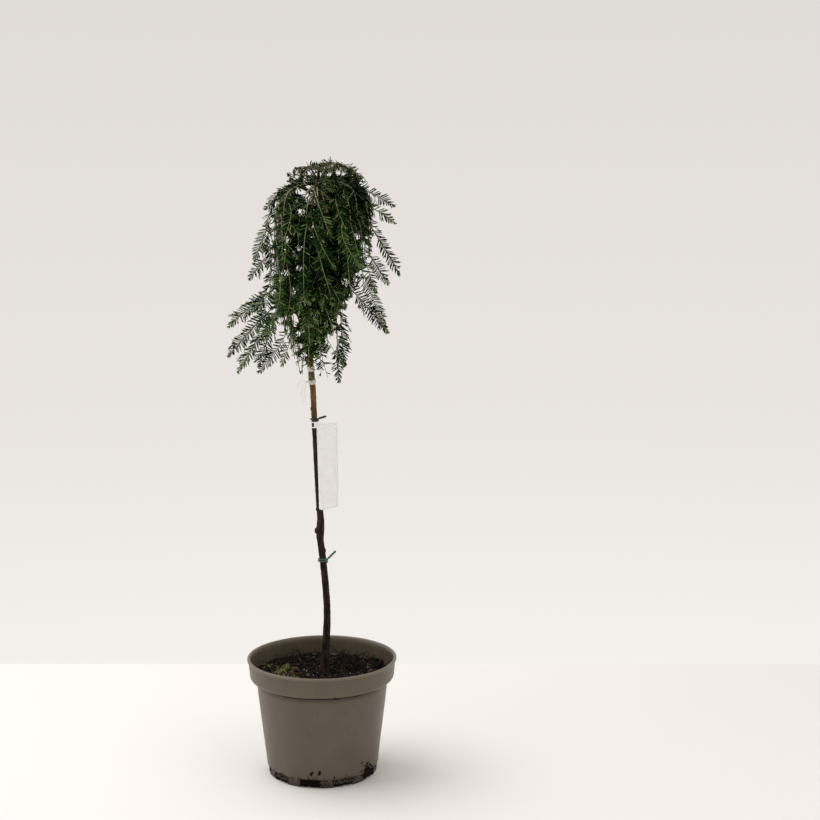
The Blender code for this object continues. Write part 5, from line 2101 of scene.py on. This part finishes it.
@dataclass
class WireTies:
    """Coated wire wound round the trunk, its ends twisted together and snipped."""

    # Height, turns round the trunk, and the tail's run along X, Y and Z, in millimetres
    ties: tuple[tuple, ...] = ((321, 2, (11, 1.5, 11)), (532.6, 1, (10, 1.5, 3)))
    radius: float = 1.2 * MM
    pitch: float = 2.8 * MM
    steps_a_turn: int = 40
    first_azimuth: float = -22

    def ring(self, height: float, turns: int) -> list[Vector]:
        """The wire's path round the trunk.

        Args:
            height: where it is.
            turns: how often it goes round.

        Returns:
            The path.
        """
        reach = POLE.radius(height) + GAP + self.radius + 0.1 * MM
        centre = POLE.centre(height)
        points = []
        steps = self.steps_a_turn * turns
        for step in range(steps + 1):
            share = step / steps
            azimuth = self.first_azimuth + (360 * turns - 20) * share
            points.append(centre + direction(azimuth) * reach + UP * (share - 0.5) * self.pitch * turns)
        return points

    def tail(self, start: Vector, along: Vector) -> list[list[Vector]]:
        """The two twisted strands of a tie's tail.

        Args:
            start: where they leave the ring.
            along: their run.

        Returns:
            The path of each strand.
        """
        side = along.cross(UP).normalized()
        over = side.cross(along).normalized()
        strands = []
        for turn in (0.0, math.pi):
            twist = []
            for step in range(25):
                angle = turn + step * 0.55
                offset = side * math.cos(angle) + over * math.sin(angle)
                twist.append(start + along * (step / 24) + offset * self.radius * 0.62)
            strands.append(twist)
        return strands

    def build(self) -> None:
        """Builds and mounts both ties."""
        for number, (level, turns, run) in enumerate(self.ties, 1):
            height = level * MM
            ring = self.ring(height, turns)
            start = POLE.centre(height) + direction(-20) * (POLE.radius(height) + 3.4 * MM)
            start.z = ring[-1].z + 0.4 * MM
            first, second = self.tail(start, Vector(run) * MM)
            lofts = []
            for path, share in ((first[::-1] + ring[::-1], 0.9), (second, 0.8)):
                path = spaced(path, 0.6 * MM)
                lofts.append(loft(path, [self.radius * share] * len(path), 10))
            tie = mesh_object(f"garden_wire_{number}", *joined(lofts), [WIRE if turns > 1 else OLD_WIRE])
            mounted(tie, "green_wire", f"wire_tie_{number}")


# The studio

@dataclass
class Studio:
    """A plain pale floor, soft light from both sides and above, and the photograph's view."""

    camera_place: tuple[float, float, float] = tuple(VIEWPOINT)
    camera_tilt: float = 81.0
    lens: float = 75.07
    floor_back: float = 0.52
    near_side: float = 0.64
    aim_height: float = 0.45

    def build(self) -> None:
        """Sets up the floor, the lights and the camera."""
        bpy.ops.mesh.primitive_plane_add(size=1, location=(0, (self.floor_back - 6) / 2, 0))
        floor = bpy.context.object
        floor.name = "studio_floor"
        floor.scale = (12, 6 + self.floor_back, 1)
        bpy.ops.object.transform_apply(location=True, scale=True)
        # Painted board, matt and white
        dressed(floor, Finish("Painted white board", "#f9f6f3", 0.8))
        floor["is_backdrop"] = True
        self.room()
        self.lamp("window", (-1.3, 0.2, 2.5), 2.6, 46.0)
        self.lamp("fill", (1.6, -1.4, 1.8), 2.0, 9.0)
        camera = bpy.data.cameras.new("camera")
        camera.lens = self.lens
        camera.sensor_width = 36
        turn = Euler((math.radians(self.camera_tilt), 0, 0))
        bpy.context.scene.camera = self.placed("camera", camera, self.camera_place, turn)
        bpy.context.scene.view_settings.view_transform = "Standard"

    def room(self) -> None:
        """Lights a white room: palest low down behind the plant, dimmer on the near side."""
        world = bpy.data.worlds.new("white_room")
        world.use_nodes = True
        tree = world.node_tree
        axes = add_node(tree, "SeparateXYZ", {0: add_node(tree, "TexCoord", out="Generated")}).node.outputs
        low = add_node(tree, "MapRange", {0: axes["Z"], 1: -0.31, 2: 0.09})
        wall = add_node(tree, "ValToRGB", {0: low},
                        stops=((0.0, "#f6f2ee"), (0.35, "#eae5e1"), (0.7, "#e5e0dc"), (1.0, "#e0dbd7")))
        near = add_node(tree, "MapRange", {0: axes["Y"], 1: -0.6, 2: 0.7, 3: self.near_side})
        back = tree.nodes["Background"].inputs
        tree.links.new(wall, back["Color"])
        tree.links.new(near, back["Strength"])
        bpy.context.scene.world = world

    def lamp(self, name: str, place: tuple[float, float, float], size: float, power: float) -> None:
        """Hangs one soft box that faces the plant.

        Args:
            name: the lamp's name.
            place: where it hangs.
            size: the side of its square.
            power: its power in watts.
        """
        light = bpy.data.lights.new(name, "AREA")
        light.size, light.energy = size, power
        away = Vector((0, 0, self.aim_height)) - Vector(place)
        self.placed(name, light, place, away.to_track_quat("-Z", "Y").to_euler())

    def placed(self, name: str, data: bpy.types.ID, place: tuple[float, float, float], turn: Euler) -> Piece:
        """Puts a lamp or the camera in its place.

        Args:
            name: its name.
            data: the lamp's or the camera's own data.
            place: where it is.
            turn: how it is turned.

        Returns:
            Its object.
        """
        obj = bpy.data.objects.new(name, data)
        obj.location, obj.rotation_euler = place, turn
        bpy.context.scene.collection.objects.link(obj)
        return obj


def corners(box: tuple[Vector, Vector]) -> list[list[float]]:
    """A box's two corners as plain lists."""
    return [list(corner) for corner in box]


def main() -> None:
    logging.basicConfig(level=logging.INFO, format="%(name)s: %(message)s")
    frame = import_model()
    cad_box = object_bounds()
    log.info("the frame has %d nodes", len(frame["nodes"]))
    deselect_all()
    pot = NurseryPot(random.Random(7))
    wood = Woodwork()
    assemblies = {
        "pot": pot, "soil": PottingSoil(pot, random.Random(11)), "trunk and boughs": wood,
        "crown": Crown(wood), "label": PlantLabel(), "graft tape": GraftTape(), "wire ties": WireTies(),
        "studio": Studio(),
    }
    for name, assembly in assemblies.items():
        assembly.build()
        log.info("built the %s", name)
    {"cad": corners(cad_box), "visual": corners(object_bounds())}


if __name__ == "__main__":
    main()
